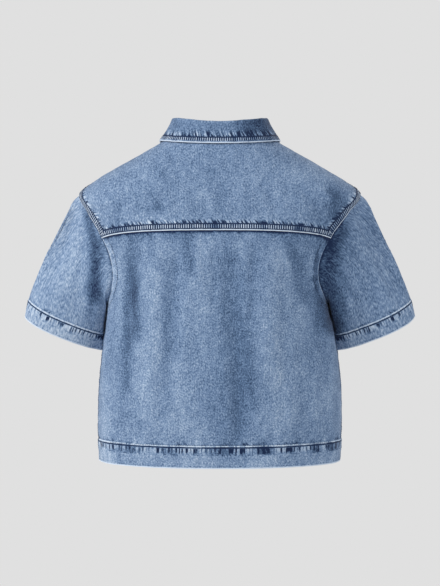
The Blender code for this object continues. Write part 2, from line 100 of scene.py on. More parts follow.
ROLL_RADIUS = 2.5 * MM
ROLL_RISE = 1.5 * MM
FALL_LIFT = 1.2 * MM
FALL_PLY = 1.7 * MM
BUTTON_PROFILE = (  # radius and height of each ring, as shares of the button's
    (0.42, 0.34), (0.90, 0.38), (0.985, 0.50), (1.0, 0.66), (0.985, 0.84), (0.93, 0.96),
    (0.86, 1.0), (0.79, 0.97), (0.74, 0.86), (0.70, 0.76), (0.52, 0.72), (0.46, 0.74),
    (0.42, 0.84), (0.34, 0.93), (0.20, 0.98), (0.08, 1.0),
)

# Sewing
BAND_WIDTH = 9 * MM  # a felled seam's raised band
BAND_RAISE = 0.8 * MM
HEM_RAISE = 0.9 * MM
HEM_PALE = 0.14  # how much paler a hem's double cloth is washed
EDGE_ROW = 2.2 * MM  # first row of stitches from a folded edge
NEEDLE_GAUGE = 6.4 * MM  # between the two rows of a felled seam
WIDER = 2.4 * MM  # by which the armholes' bands on the yoke, and so their two rows, are wider
INNER_ROW = BAND_WIDTH - EDGE_ROW - NEEDLE_GAUGE  # second row from the band's far edge
HEM_ROW = 1.6 * MM  # a hem's row from its upper fold
PLACKET_ROW = 2.4 * MM  # the placket's and the fall's rows from their edges
FALL_ROW = 8 * MM
UNDERARM_ROWS = 1.4 * MM, 7 * MM  # a sleeve's two rows from its seam under the arm
STITCH_PITCH = 3.1 * MM
THREAD = 0.34 * MM  # radius
CREASE_WASH_AND_SHADE = 0.11  # how much a millimetre of crease pales or darkens the cloth: wash wear, painted highlight on ridges and painted shade in troughs
# Each kind of edge: how far in its outer row is from its band's edge, then felled and hemmed
KINDS = {
    "felled": (INNER_ROW, 1.0, 0.0),
    "single": (0.0, 0.5, 0.0),
    "flat": (INNER_ROW, 0.28, 0.0),
    "hem": (HEM_ROW, 0.0, 1.0),
    "turned": (INNER_ROW, 0.0, 0.0),
}
# Each seam: its band's width and height, how strongly its puckers pull, how many millimetres they
# reach, how pale its edge is rubbed, how dark the cloth beside it is painted (kept dye with a painted
# shadow line past the band), the puckers' lean, its kind
SEAMS = {
    "armhole of the back": (BAND_WIDTH, BAND_RAISE, 0.35, 12, 1.0, 0.12, 0, "turned"),
    "pressed flat": (BAND_WIDTH, BAND_RAISE, 0.35, 12, 0.5, 0.5, 0, "flat"),
    "under the yoke": (0, 0, 0.7, 8, 0, 1.3, 0.7, None),
    "tucked under": (0, 0, 0.35, 12, 0, 0.6, 0, None),
    "armhole of the yoke": (BAND_WIDTH + WIDER, BAND_RAISE, 0.35, 12, 1.3, 0.3, 0, "felled"),
    "shoulder": (BAND_WIDTH, BAND_RAISE, 0.3, 12, 0.5, 0.5, 0, "felled"),
    "yoke": (BAND_WIDTH, BAND_RAISE, 0.65, 7, 0.9, 0.9, -0.7, "felled"),
    "hem": (HEM_HEIGHT, HEM_RAISE, 0.25, 8, 0.9, 0.5, 0, "hem"),
    "hem of a front": (HEM_HEIGHT, HEM_RAISE * 0.9, 0.25, 8, 0.9, 0.5, 0, "hem"),
    "hem of a sleeve": (SLEEVE_HEM, HEM_RAISE, 0.25, 8, 0.9, 0.5, 0, "hem"),
    "hem's stitches": (0, 0, 0.6, 6, 0.1, 0, 0.8, None),
    "armhole of a sleeve": (0, 0, 0.4, 9, 0, 1.0, 0, None),
    "underarm": (BAND_WIDTH, 0.5 * MM, 0.3, 8, 0.5, 0.4, 0, "flat"),
    "placket": (PLACKET_ROW, 0, 0.25, 4, 0.9, 0.25, 0, "single"),
    "foot of the stand": (3 * MM, 0, 0.15, 4, 0.6, 0.3, 0, None),
    "top of the stand": (3 * MM, 0, 0.1, 4, 0.3, 0.2, 0, None),
    "edge of the fall": (FALL_ROW, 0.25 * MM, 0.5, 5, 1.1, 0.9, 0, "single"),
    "end of the fall": (FALL_ROW, 0, 0.25, 5, 1.0, 0.3, 0, "single"),
}


def table(header, *rows):
    """Rows in millimetres, or in degrees where a column's name ends in _deg, as named arrays."""
    columns = np.array(rows, float).T
    names = header.split()
    units = [radians(1) if name.endswith("_deg") else MM for name in names]
    return {name: column * unit for name, column, unit in zip(names, columns, units)}


LINES = "top_x top_z low_x low_z width depth"  # folds and creases down the body
ROUND_SLEEVE = "turn_deg width_deg depth"  # and round a sleeve, from its top by its back
BODY = table(  # half width, and depth to the back and the front, of the ring at each level
    "level width back front back_z front_z right_tuck",
    (-443.5, 165.5, 91, 87, -447, -447, 0),
    (-400, 167.5, 92.5, 88.5, -400, -400, 0),
    (-340, 166.5, 93, 89, -340, -340, 0),
    (-290, 162.5, 92.5, 89, -290, -290, 1),
    (-250, 157.5, 92, 88.5, -250, -250, 4),
    (-215, 154, 91.5, 88, -215, -216, 8),
    (-185, 155.5, 91, 87, -186, -187, 9.5),
    (-155, 163, 90, 85.5, -157, -160, 7),
    (-125, 175, 88, 83, -131, -138, 4),
    (-95, 187, 85.5, 79, -107, -118, 2),
    (-72, 193.5, 82, 74.5, -87, -102, 0),
    (-54, 173, 77.5, 70, -66, -88, 0),
    (-40, 149.5, 72.5, 65.5, -50, -78, 0),
    (-18, 111, 64, 57, -25, -63, 0),
    (-2, 83, 57, 50, -7, -53, 0),
    (6, 70, 51, 44, 0, -47, 0),
)
BACK_FOLDS = table(
    LINES,
    (119, -142, 130, -312, 13, -4.0),
    (94, -150, 92, -395, 15, 3.0),
    (60, -148, 70, -360, 12, -2.4),
    (30, -148, 30, -230, 12, 1.8),
    (-14, -156, -27, -405, 15, -4.2),
    (-68, -146, -66, -330, 17, 2.6),
    (-94, -143, -123, -222, 11, -3.0),
    (-112, -260, -118, -410, 15, -2.2),
)
FRONT_FOLDS = table(
    LINES,
    (110, -150, 121, -330, 14, -3.6),
    (78, -190, 72, -400, 16, 2.6),
    (44, -170, 50, -340, 12, -2.2),
    (-46, -200, -38, -390, 13, -2.2),
    (-80, -160, -74, -380, 16, 2.8),
    (-108, -155, -122, -300, 14, -3.4),
)
FOLD_FADE = 38 * MM  # over which a fold fades out at its ends

# Creases too fine for the solids: soft troughs and ridges between two ends
BACK_CREASES = table(
    LINES,
    (-24, -250, -30, -400, 8.0, -0.5),
    (-6, -300, -14, -410, 7.0, 1.0),
    (124, -160, 128, -290, 6.0, -1.2),
    (107, -180, 112, -300, 7.0, 0.9),
    (146, -200, 152, -330, 7.0, -1.3),
    (58, -150, 64, -250, 6.0, -0.9),
    (44, -160, 50, -300, 8.0, 0.7),
    (-46, -150, -42, -260, 7.0, -0.9),
    (-84, -145, -100, -200, 5.0, 1.0),
    (-104, -150, -132, -215, 5.0, -1.4),
    (-90, -250, -86, -390, 8.0, -1.0),
    (-134, -250, -146, -340, 6.0, -1.2),
    (-150, -300, -152, -400, 7.0, 0.8),
    (84, -300, 80, -405, 8.0, -0.8),
    (10, -150, 8, -215, 6.0, -0.7),
)
YOKE_CREASES = table(
    LINES,
    (70, -66, 88, -108, 7.0, -1.1),
    (54, -62, 44, -100, 8.0, 0.9),
    (118, -70, 150, -118, 8.0, -1.2),
    (136, -64, 172, -104, 7.0, 0.9),
    (-62, -60, -80, -112, 8.0, -0.9),
    (-110, -66, -146, -116, 8.0, -1.3),
    (-130, -60, -166, -100, 7.0, 1.0),
    (8, -40, -6, -104, 9.0, -0.7),
    (-30, -50, -34, -108, 9.0, 0.6),
)
FRONT_CREASES = table(
    LINES,
    (124, -170, 130, -300, 6.0, -1.2),
    (100, -140, 66, -190, 7.0, -1.0),
    (118, -150, 84, -210, 7.0, 0.9),
    (58, -250, 64, -390, 7.0, -1.1),
    (32, -180, 36, -330, 7.0, 0.8),
    (-30, -220, -34, -400, 7.0, -0.9),
    (-62, -160, -56, -330, 8.0, -1.1),
    (-98, -140, -64, -196, 7.0, -1.0),
    (-116, -160, -84, -214, 7.0, 0.9),
    (-128, -240, -136, -360, 7.0, -1.2),
    (-92, -290, -90, -410, 8.0, 0.7),
    (140, -300, 146, -400, 7.0, -1.0),
)
SLEEVE_FOLDS = table(
    ROUND_SLEEVE,
    (52, 13, 2.2),
    (84, 15, -4.5),
    (118, 12, 2.0),
    (232, 14, 2.2),
    (264, 16, -4.2),
    (300, 13, 1.8),
)
SLEEVE_CREASES = table(
    ROUND_SLEEVE,
    (30, 6, -0.9),
    (68, 5, -1.0),
    (98, 6, -1.2),
    (140, 7, 0.9),
    (160, 5, -1.1),
    (206, 6, -1.0),
    (250, 6, 0.9),
    (282, 5, -1.1),
    (332, 6, -0.8),
)
SLEEVE_BOW = {  # how far the sleeve's top stands out, down its length
    "along": np.array((0, 0.12, 0.27, 0.5, 0.7, 0.87, 1)),
    "out": np.array((0, 6.0, 8.6, 8.4, 7.4, 5.0, 0)) * MM,
}
FALL = table(  # where each place of the roll comes down to, on the body's surface
    "roll_deg edge_deg edge_level",
    (-42, -40, -2.5),
    (0, 0, -2.5),
    (42, 40, -2.5),
    (80, 79, -1.5),
    (108, 103, -2),
    (134, 127, -9.5),
    (155, 147, -23),
    (168, 163, -45),
)

# Painted shade in hollows, where the body's edges and folds shade the cloth, and painted light on high
# places. Their depth is how much darker the cloth is painted, or below 0 how much paler
HOLLOWS = table(
    LINES,
    (-152, -62, -164, -128, 12, 0.6),
    (-166, -100, -172, -140, 9, 0.5),
    (-158, -120, -147, -192, 14, 0.9),
    (-147, -184, -161, -268, 15, 0.95),
    (-130, -205, -142, -270, 14, 0.35),
    (-92, -130, -112, -222, 10, 0.4),
    (-12, -150, -20, -440, 25, 0.2),
    (-30, -230, -46, -370, 12, 0.22),
    (122, -130, 114, -210, 8, 0.25),
    (115, -195, 112, -276, 7, 0.6),
    (122, -252, 128, -350, 8, 0.4),
    (134, -165, 136, -276, 6, -0.2),
    (76, -160, 70, -380, 7, 0.2),
    (62, -290, 58, -402, 34, -0.16),
    (-92, -300, -86, -402, 32, -0.2),
    (156, -372, 159, -446, 9, -0.3),
    (92, -124, 90, -180, 8, 0.22),
    (45, -124, 41, -190, 8, 0.32),
    (27, -124, 24, -176, 6, -0.16),
    (-10, -124, -14, -176, 7, 0.2),
    (-28, -124, -30, -190, 7, -0.16),
    (-76, -124, -80, -180, 8, -0.2),
    (110, -275, 106, -385, 14, -0.14),
    (82, -175, 80, -300, 10, -0.15),
    (120, -165, 124, -245, 12, 0.18),
    (-80, -255, -78, -350, 10, -0.14),
    (-166, -175, -174, -300, 9, 0.22),
    (-143, -290, -144, -385, 12, -0.13),
)
SLEEVE_HOLLOWS = table(
    LINES,
    (184, -86, 174, -140, 8, 0.9),
    (172, -132, 170, -226, 10, 1.0),
    (179, -190, 176, -250, 11, 0.4),
)
YOKE_HOLLOWS = table(
    LINES,
    (88, -32, 76, -60, 9, 0.3),
    (48, -72, 36, -100, 9, 0.25),
    (92, -74, 78, -106, 6, 0.35),
    (-36, -70, -40, -104, 7, 0.3),
    (22, -66, 20, -100, 8, -0.2),
    (-102, -30, -106, -72, 15, -0.2),
    (122, -62, 128, -100, 9, -0.15),
)
# Blots of dye along a seam: place across the back, width and depth
YOKE_BLOTS = ((140, 13, 0.5), (62, 6, 0.2), (6, 10, 0.7), (-56, 10, 0.6), (-108, 9, 0.9))
HEM_BLOTS = (
    (128, 20, 0.5), (65, 9, 0.7), (0, 13, 0.8), (-60, 12, 1.4), (-129, 6, 0.9), (-153, 8, 1.0),
)
# Each sleeve: side, how much paler it is painted as if lit from its side, its hollows of painted shade, the
# painted shade behind its armhole, crumples
SLEEVES = {
    "sleeve_left": (1, 0.21, SLEEVE_HOLLOWS, 0.35, 1),
    "sleeve_right": (-1, 0, HOLLOWS, 0.8, 1.7),
}


def smooth(at, places, values):
    """A curve through (places, values), read at each place in `at`."""
    slopes = np.gradient(values, places)
    first = np.clip(np.searchsorted(places, at) - 1, 0, len(places) - 2)
    span = places[first + 1] - places[first]
    t = np.clip((at - places[first]) / span, 0, 1)
    near = (1 + 2 * t) * (1 - t) ** 2 * values[first] + t * (1 - t) ** 2 * span * slopes[first]
    far = t * t * (3 - 2 * t) * values[first + 1] - t * t * (1 - t) * span * slopes[first + 1]
    return near + far


def ramp(value, low, high):
    """0 below low, 1 above high and a soft rise between them."""
    t = np.clip((value - low) / (high - low), 0, 1)
    return t * t * (3 - 2 * t)


def bump(value, middle, width):
    """1 at the middle, falling softly to 0 on both sides."""
    return np.exp(-(((value - middle) / width) ** 2))


def unit(vectors):
    return vectors / np.linalg.norm(vectors, axis=-1, keepdims=True)


def noise(u, v, seed):
    """Soft random heights from -1 to 1 over cells that are 1 across."""
    u, v = np.broadcast_arrays(u, v)
    cell_u, cell_v = np.floor(u), np.floor(v)
    part_u, part_v = ramp(u - cell_u, 0, 1), ramp(v - cell_v, 0, 1)

    def corner(step_u, step_v):
        # Odd factors this large scatter neighbouring cells evenly
        mixed = np.sin((cell_u + step_u) * 12.9898 + (cell_v + step_v) * 78.233 + seed * 37.719)
        mixed = mixed * 43758.5453
        return 2 * (mixed - np.floor(mixed)) - 1

    low = corner(0, 0) * (1 - part_u) + corner(1, 0) * part_u
    high = corner(0, 1) * (1 - part_u) + corner(1, 1) * part_u
    return low * (1 - part_v) + high * part_v


# The surfaces that the solids are laid on


def ring_point(angle, width, back, front, side_z, back_z, front_z):
    """Point of one ring: angle 0 is the centre back, +90 degrees the wearer's left."""
    sine, cosine = np.sin(angle), np.cos(angle)
    depth = np.where(cosine > 0, back, front)
    end_z = np.where(cosine > 0, back_z, front_z)
    factor = (abs(sine) ** ROUNDNESS + abs(cosine) ** ROUNDNESS) ** (-1 / ROUNDNESS)
    x, y = width * sine * factor, depth * cosine * factor
    return np.stack([x, y, side_z + (end_z - side_z) * cosine**2], axis=-1)


def plain_body(angle, level):
    angle, level = np.broadcast_arrays(angle, level)
    size = {name: smooth(level, BODY["level"], BODY[name]) for name in BODY}
    tuck = np.where(np.sin(angle) < 0, size["right_tuck"] * np.sin(angle) ** 2, 0)
    return ring_point(
        angle, size["width"] - tuck, size["back"], size["front"], level, size["back_z"], size["front_z"]
    )


def body_normal(angle, level):
    turn, rise = radians(0.5), 0.5 * MM
    along = plain_body(angle + turn, level) - plain_body(angle - turn, level)
    up = plain_body(angle, level + rise) - plain_body(angle, level - rise)
    return unit(np.cross(up, along))


def fold_depth(points, folds, fade=FOLD_FADE):
    """Sum of the folds at these points, each a soft trough or ridge along its line."""
    x, z = points[..., 0], points[..., 2]
    depth = np.zeros_like(x)
    for top_x, top_z, low_x, low_z, width, most in zip(*folds.values()):
        line_x = low_x + (top_x - low_x) * (z - low_z) / (top_z - low_z)
        within = ramp(z, low_z - fade / 2, low_z + fade)
        within = within * (1 - ramp(z, top_z - fade, top_z + fade / 2))
        depth += most * within * bump(x, line_x, width)
    return depth


def body(angle, level):
    points, normals = plain_body(angle, level), body_normal(angle, level)
    back = fold_depth(points, BACK_FOLDS) * (points[..., 1] > 0)
    front = fold_depth(points, FRONT_FOLDS) * (points[..., 1] < 0)
    return points + normals * (back + front)[..., None], normals


def angle_at(x, level):
    """Angle past the centre of a ring at which it is x from the centre."""
    share = (x / smooth(level, BODY["level"], BODY["width"])) ** ROUNDNESS
    return np.arctan((share / (1 - share)) ** (1 / ROUNDNESS))


def armhole(side, turn):
    """Angle from the centre back and level of the armhole's edge, turned from its top by its back."""
    widest = np.where(np.sin(turn) > 0, ARMHOLE_BACK[side], ARMHOLE_FRONT)
    spread = np.sin(turn) * (widest + ARMHOLE_LEAN * np.cos(turn))
    return pi / 2 - spread, MIDDLE_LEVEL + HALF_ARMHOLE * np.cos(turn)


def shoulder_seam(level):
    """Angle from the centre back to the shoulder seam, which runs just in front of the ridge."""
    depth = smooth(level, BODY["level"], BODY["front"])
    forward = SHOULDER_SEAM_FORWARD * ramp(level, SHOULDER_LEVEL, SHOULDER_LEVEL + 18 * MM)
    return pi / 2 + np.arcsin(forward / depth)


def lap_lift(points):
    """How far the left side's pieces stand out to lie over the right side's at the centre front."""
    return LAP * (1 - ramp(points[..., 0], PLACKET_WIDTH / 2 + 2 * MM, PLACKET_WIDTH / 2 + LAP_BLEND))


# Even spacing along the hem's ring, from the centre back round to past the centre front
RING_ANGLES = np.linspace(0, pi + 0.4, 1200)
RING_STEPS = np.linalg.norm(np.diff(plain_body(RING_ANGLES, HEM_LEVEL), axis=0), axis=1)
RING_LENGTHS = np.concatenate([[0], np.cumsum(RING_STEPS)])


def spaced(length, zones, coarse):
    """Places along a length, with finer steps in zones given as (start, end, step)."""
    places = [0.0]
    while places[-1] < length:
        here = places[-1] + 1e-9
        step = min([coarse] + [fine for start, end, fine in zones if start <= here < end])
        places.append(places[-1] + step)
    return np.array(places) * (length / places[-1])


def lengths(line):
    return np.concatenate([[0], np.cumsum(np.linalg.norm(np.diff(line, axis=0), axis=1))])


def resampled(line, step):
    """The line's points again at an even step."""
    along = lengths(line)
    count = max(round(along[-1] / step), 2)
    even = np.linspace(0, along[-1], count + 1)
    return np.stack([np.interp(even, along, line[:, i]) for i in range(3)], axis=1)


def closest(points, places):
    """For each point the index of the place nearest to it, worked out some points at a time."""
    square, some = (places**2).sum(axis=1)[None], 200
    parts = [points[start : start + some] for start in range(0, len(points), some)]
    return np.concatenate([np.argmin(square - 2 * part @ places.T, axis=1) for part in parts])


def nearest(points, line):
    """Distance from each point to a line, and how far along the line that is."""
    step = 1.2 * MM
    line = resampled(line, step)
    along, tangents = lengths(line), unit(np.gradient(line, axis=0))
    flat = points.reshape(-1, 3)
    index = closest(flat, line)
    away = flat - line[index]
    onward = (away * tangents[index]).sum(axis=1)
    inside = np.clip(onward, -step, step)
    distance = np.linalg.norm(away - tangents[index] * inside[:, None], axis=1)
    return distance.reshape(points.shape[:-1]), (along[index] + inside).reshape(points.shape[:-1])


def grid_normals(points, closed=False):
    down = np.gradient(points, axis=0)
    if closed:
        loop = points[:, :-1]
        across = np.roll(loop, -1, axis=1) - np.roll(loop, 1, axis=1)
        across = np.concatenate([across, across[:, :1]], axis=1)
    else:
        across = np.gradient(points, axis=1)
    return unit(np.cross(down, across))


# Lines that the pieces are sewn along, on the plain surface


def armhole_line(side, start, end):
    angle, level = armhole(side, np.linspace(start, end, 160))
    return body(side * angle, level)[0]


def side_line(side):
    return body(side * pi / 2, np.linspace(HEM_LEVEL, UNDERARM_LEVEL, 90))[0]


def shoulder_line(side):
    levels = np.linspace(SHOULDER_LEVEL, NECK_LEVEL, 90)
    return body(side * shoulder_seam(levels), levels)[0]


def hem_line(start, end, height=0.0):
    return body(np.linspace(start, end, 220), HEM_LEVEL + height)[0]


def yoke_line():
    left, level = armhole(1, YOKE_TURN)
    right = armhole(-1, YOKE_TURN)[0]
    angle = np.linspace(-right, left, 240)
    share = np.where(angle < 0, angle / right, angle / left)
    return body(angle, level + YOKE_ARCH * (1 - share**2))[0]


def along_ring(edge, share):
    """Angles at even shares of the way along the ring from the centre back to an edge's angle."""
    reach = np.interp(edge, RING_ANGLES, RING_LENGTHS)
    return np.interp(reach * share, RING_LENGTHS, RING_ANGLES)


def back_grid(share, turns, low_levels, high_levels, low, high):
    """Angles and levels of a panel that spans the back between both armholes."""
    angle = np.empty((len(low_levels) + len(turns) + len(high_levels), len(share)))
    reach = np.empty_like(angle)
    for side in (-1, 1):
        edge, edge_level = armhole(side, turns)
        edge = np.concatenate([np.full(len(low_levels), pi / 2), edge, shoulder_seam(high_levels)])
        mine = share * side >= 0
        angle[:, mine] = side * along_ring(edge[:, None], abs(share[mine])[None])
        reach[:, mine] = angle[:, mine] / edge[:, None]
    level = np.concatenate([low_levels, edge_level, high_levels])[:, None]
    lifted = np.clip((level - low) / (high - low), 0, 1)
    return angle, level + YOKE_ARCH * (1 - reach**2) * lifted


def front_grid(side, share, turns, low_levels, high_levels):
    """Angles and levels of one front, from its side seam to half a placket past the centre."""
    edge, edge_level = armhole(side, -turns)
    level = np.concatenate([low_levels, edge_level, high_levels])
    edge = np.concatenate([np.full(len(low_levels), pi / 2), edge, shoulder_seam(high_levels)])
    start = np.interp(edge, RING_ANGLES, RING_LENGTHS)[:, None]
    end = pi + angle_at(PLACKET_WIDTH / 2, level)
    end = np.interp(end, RING_ANGLES, RING_LENGTHS)[:, None]
    angle = side * np.interp(start + (end - start) * share, RING_LENGTHS, RING_ANGLES)
    return angle, level[:, None]


def edge_turns(start, end, fine_at, step=2.6 * MM):
    """Turns round an armhole at even steps, finer by one end."""
    fine = np.linspace(start, end, 400)
    angle, level = armhole(1, fine)
    along = lengths(plain_body(angle, level))
    zone = {"end": (along[-1] - 12 * MM, along[-1]), "start": (0, 12 * MM)}[fine_at]
    return np.interp(spaced(along[-1], [(*zone, 1.1 * MM)], step), along, fine)


# Shaping and wear

PAINTED = ("worn", "deep", "away", "along", "past_row", "felled", "hemmed")  # what the denim reads
SEATS = {}  # each finished piece's outer points and normals, which its stitches are laid on
SEWN = {}  # lines and places that later pieces need


class Cloth:
    """A piece of cloth while it is shaped: its grid of points, and what is worked out at each.

    `worn` and `deep` say how pale or dark its blue is. The rest places it by its nearest seam, in
    millimetres: `away` from the seam's line, `along` it, and `past_row` beyond its outer stitches.
    `felled` is 1 by a double-stitched band and 0.5 by a single-stitched edge; `hemmed`, by a hem.
    """

    # worn and deep carry wear and kept dye, and with them painted light and painted shade
    def __init__(self, points, normals, height=CLOTH):
        self.points, self.normals, self.flat = points, normals, flat_places(points)
        for name in (*PAINTED, "height", "zone"):
            setattr(self, name, np.zeros(points.shape[:-1]))
        self.height += height
        self.away += 99
        self.past_row += 99
        self.zone += 9

    def relief(self, depth, wash=0.16):
        """Raises the cloth by a depth, pales what stands up and darkens what sinks: wash wear and kept dye,
        and painted highlight and painted shade.
        """
        self.height += depth
        self.worn += np.clip(depth / MM, 0, 3) * wash
        self.deep += np.clip(-depth / MM, 0, 3) * wash

    def wear_and_shade_folds(self, folds):
        """Pales the ridges of the large folds, and darkens their troughs: wash wear and kept dye, and
        painted highlight and painted shade.
        """
        wash = fold_depth(self.points, folds) / MM * 0.03
        self.worn += np.clip(wash, 0, 1)
        self.deep += np.clip(-wash, 0, 1)

    def crease(self, creases, fade, settings):
        """Creases too fine for the solids, each fading out at both ends."""
        self.relief(fold_depth(self.points, creases, fade) * settings.crease_depth, CREASE_WASH_AND_SHADE)

    def drape(self, seed, ripple, crumple):
        """Soft uneven ripples that hang down the cloth, and the small crumples between them."""
        across, down = self.flat[..., 0] / MM, self.flat[..., 1] / MM
        sway = 0.9 * noise(down / 70, across / 60, seed)
        hang = noise(across / 21 + sway, down / 95, seed + 1)
        hang += 0.5 * noise(across / 10 + sway, down / 46, seed + 2)
        fine = noise(across / 8.5 + 0.6 * sway, down / 12, seed + 3)
        fine += 0.5 * noise(across / 4.2, down / 5.5 + sway, seed + 4)
        self.relief((ripple * hang + crumple * fine) * MM)

    def paint_shade_and_light(self, hollows):
        """Paints shade in hollows of the back, and painted light on the high places between them."""
        on_back = self.points[..., 1] > -8 * MM
        self.deep += fold_depth(self.points, hollows, 16 * MM) / MM * on_back

    def blot_seam(self, blots, low, high):
        """Dark blots of dye along a seam on the back, between two distances past its outer row."""
        across, past = self.points[..., 0] / MM, self.past_row
        reach = ramp(past, low - 2, low + 1) * (1 - ramp(past, high - 2, high + 2))
        for at, width, depth in blots:
            self.deep += depth * bump(across, at, width) * reach

    def sew(self, line, seed, seam):
        """Shapes and wears the cloth along a seam: its raised band, puckers and rubbed edges."""
        band, raised, pucker, reach, edge, shade, slant, kind = SEAMS[seam]
        away, along = (distance / MM for distance in nearest(self.points, line))
        band = band / MM
        if kind:
            inset, felled, hemmed = KINDS[kind]
            values = {
                "zone": away / (band + 2), "away": away, "along": along,
                "past_row": away - (band - inset / MM), "felled": felled, "hemmed": hemmed,
            }
            mine = values["zone"] < self.zone
            for name, value in values.items():
                setattr(self, name, np.where(mine, value, getattr(self, name)))
        self.height += raised * (1 - ramp(away, band, band + 0.9))
        lean = along + slant * away
        beat = noise(lean / 6.2, away / 34, seed) + 0.55 * noise(lean / 3.1, away / 15, seed + 5)
        strength = np.exp(-np.clip(away - band, 0, None) / reach) * (0.35 + 0.65 * ramp(away, 0, 2))
        self.relief(pucker * MM * beat * strength, wash=0.55)
        if kind == "hem":
            self.worn += HEM_PALE * (1 - ramp(away, band - 4, band - 1))
        blots = 0.6 + 0.4 * noise(along / 7, 0.5, seed + 9) + 0.35 * noise(along / 29, 0.5, seed + 11)
        self.worn += edge * bump(away, 0.3, 0.9) * blots
        # A painted shadow line just past the band's edge, together with the dye that the seam keeps there
        self.deep += shade * bump(away, band + 1.3, 1.5) * np.clip(blots, 0.2, 1.4)
        if band:
            self.worn += 0.4 * edge * bump(away, band - 0.4, 0.8) * blots

    def sew_all(self, first_seed, *seams):
        """Sews lines one after another, with seeds that count up."""
        for number, (line, seam) in enumerate(seams):
            self.sew(line, first_seed + number, seam)

    def finish(self, node, ply, closed=False, offset=-1.0):
        """Makes the piece in place of its solid, a thin shell with its outer face at `height`.

        A closed piece is a ring of cloth, whose first and last columns are joined.
        """
        outer = self.points + self.normals * self.height[..., None]
        rows, columns = outer.shape[:2]
        bpy.ops.object.select_all(action="DESELECT")
        bpy.ops.mesh.primitive_grid_add(x_subdivisions=columns - 1, y_subdivisions=rows - 1, size=1)
        piece = bpy.context.object
        data = piece.data
        piece.name = data.name = node + "_cloth"
        if len(data.vertices) != rows * columns:
            raise RuntimeError(f"{node}: the grid has {len(data.vertices)} points")
        data.vertices.foreach_set("co", outer.reshape(-1))
        corners = np.empty(len(data.loops), int)
        data.loops.foreach_get("vertex_index", corners)
        layer = data.uv_layers[0]
        layer.name = "cloth"
        layer.data.foreach_set("uv", self.flat.reshape(-1, 2)[corners].reshape(-1))
        for name in PAINTED:
            values = data.attributes.new(name, "FLOAT", "POINT")
            values.data.foreach_set("value", getattr(self, name).reshape(-1))
        data.update()
        middle = data.polygons[len(data.polygons) // 2]
        if middle.normal.dot(Vector(self.normals.reshape(-1, 3)[middle.vertices[0]])) < 0:
            data.flip_normals()
        if closed:
            bpy.ops.object.mode_set(mode="EDIT")
            bpy.ops.mesh.select_all(action="SELECT")
            bpy.ops.mesh.remove_doubles(threshold=0.02 * MM)
            bpy.ops.object.mode_set(mode="OBJECT")
        wall = piece.modifiers.new("Cloth", "SOLIDIFY")
        wall.thickness, wall.offset = ply, offset
        bpy.ops.object.modifier_apply(modifier=wall.name)
        bpy.ops.object.shade_smooth_by_angle(angle=radians(38))
        data.materials.clear()
        data.materials.append(material("Woven stone-washed denim"))
        facing = grid_normals(outer, closed)
        facing *= np.sign(np.sum(facing * self.normals))
        SEATS[node] = (outer.reshape(-1, 3), facing.reshape(-1, 3))
        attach(piece, "root")
        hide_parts(node)


def flat_places(points):
    """The cloth's own flat places in metres: across it along each row, and down it."""
    rows = np.linalg.norm(np.diff(points, axis=1), axis=-1)
    across = np.concatenate([np.zeros((len(points), 1)), np.cumsum(rows, axis=1)], axis=1)
    middle = points.shape[1] // 2
    across -= across[:, middle : middle + 1]
    down = lengths(points[:, middle])[:, None] + np.zeros_like(across)
    return np.stack([across, down], axis=-1)


# Back, yoke, fronts and placket


def low_rows():
    """Levels up the body from its hem, finer round the hem's fold and stitches."""
    zones = [(0, 3 * MM, 1 * MM), (HEM_HEIGHT - 7 * MM, HEM_HEIGHT + 6 * MM, 1 * MM)]
    return HEM_LEVEL + spaced(UNDERARM_LEVEL - HEM_LEVEL, zones, 2.7 * MM)[:-1]


def high_rows(step=2.6 * MM):
    """Levels up the shoulder at even steps along its seam."""
    fine = np.linspace(SHOULDER_LEVEL, NECK_LEVEL, 400)
    along = lengths(plain_body(shoulder_seam(fine), fine))
    return np.interp(spaced(along[-1], [], step)[1:], along, fine)


def back_shares():
    """Shares of the way from the centre back to both armholes, finer by them."""
    reach = RING_LENGTHS[np.searchsorted(RING_ANGLES, pi / 2)]
    shares = spaced(reach, [(reach - 14 * MM, reach + 1, 1.1 * MM)], 2.0 * MM) / reach
    return np.concatenate([-shares[:0:-1], shares])


def hem_stitches(start, end):
    return hem_line(start, end, HEM_HEIGHT - HEM_ROW)


def build_back(settings):
    """The back below the yoke, which runs on a little under the yoke's edge."""
    seam_level = armhole(1, YOKE_TURN)[1]
    tucked = 3.5 * MM / HALF_ARMHOLE * np.array((0.3, 1))
    turns = np.concatenate([edge_turns(pi, YOKE_TURN, "end"), YOKE_TURN - tucked])
    grid = back_grid(back_shares(), turns, low_rows(), np.array([]), UNDERARM_LEVEL, seam_level)
    back = Cloth(*body(*grid))
    back.wear_and_shade_folds(BACK_FOLDS)
    back.crease(BACK_CREASES, 22 * MM, settings)
    back.drape(3, settings.ripple, settings.crumple)
    for side in (1, -1):
        line = armhole_line(side, 0.9, pi)
        back.sew(line, 11 + side, "armhole of the back")
        band_rubbed = 1 - ramp(nearest(back.points, line)[0], 5 * MM, 14 * MM)
        back.worn += 0.32 * band_rubbed
        back.sew(side_line(side), 15 + side, "pressed flat")
    under_yoke = nearest(back.points, yoke_line())[0] / MM  # painted shadow under the yoke's edge, darkest close by
    back.deep += 1.1 * np.exp(-under_yoke / 2.2) + 0.3 * np.exp(-under_yoke / 11)
    back.sew(yoke_line(), 21, "under the yoke")
    back.sew(hem_line(-pi / 2, pi / 2), 23, "hem")
    back.sew(hem_stitches(-pi / 2, pi / 2), 24, "hem's stitches")
    back.paint_shade_and_light(HOLLOWS)
    back.blot_seam(HEM_BLOTS, -9, 2)
    back.height[-2:] -= 0.9 * MM  # the rows that lie under the yoke
    back.finish("back_body", settings.ply)


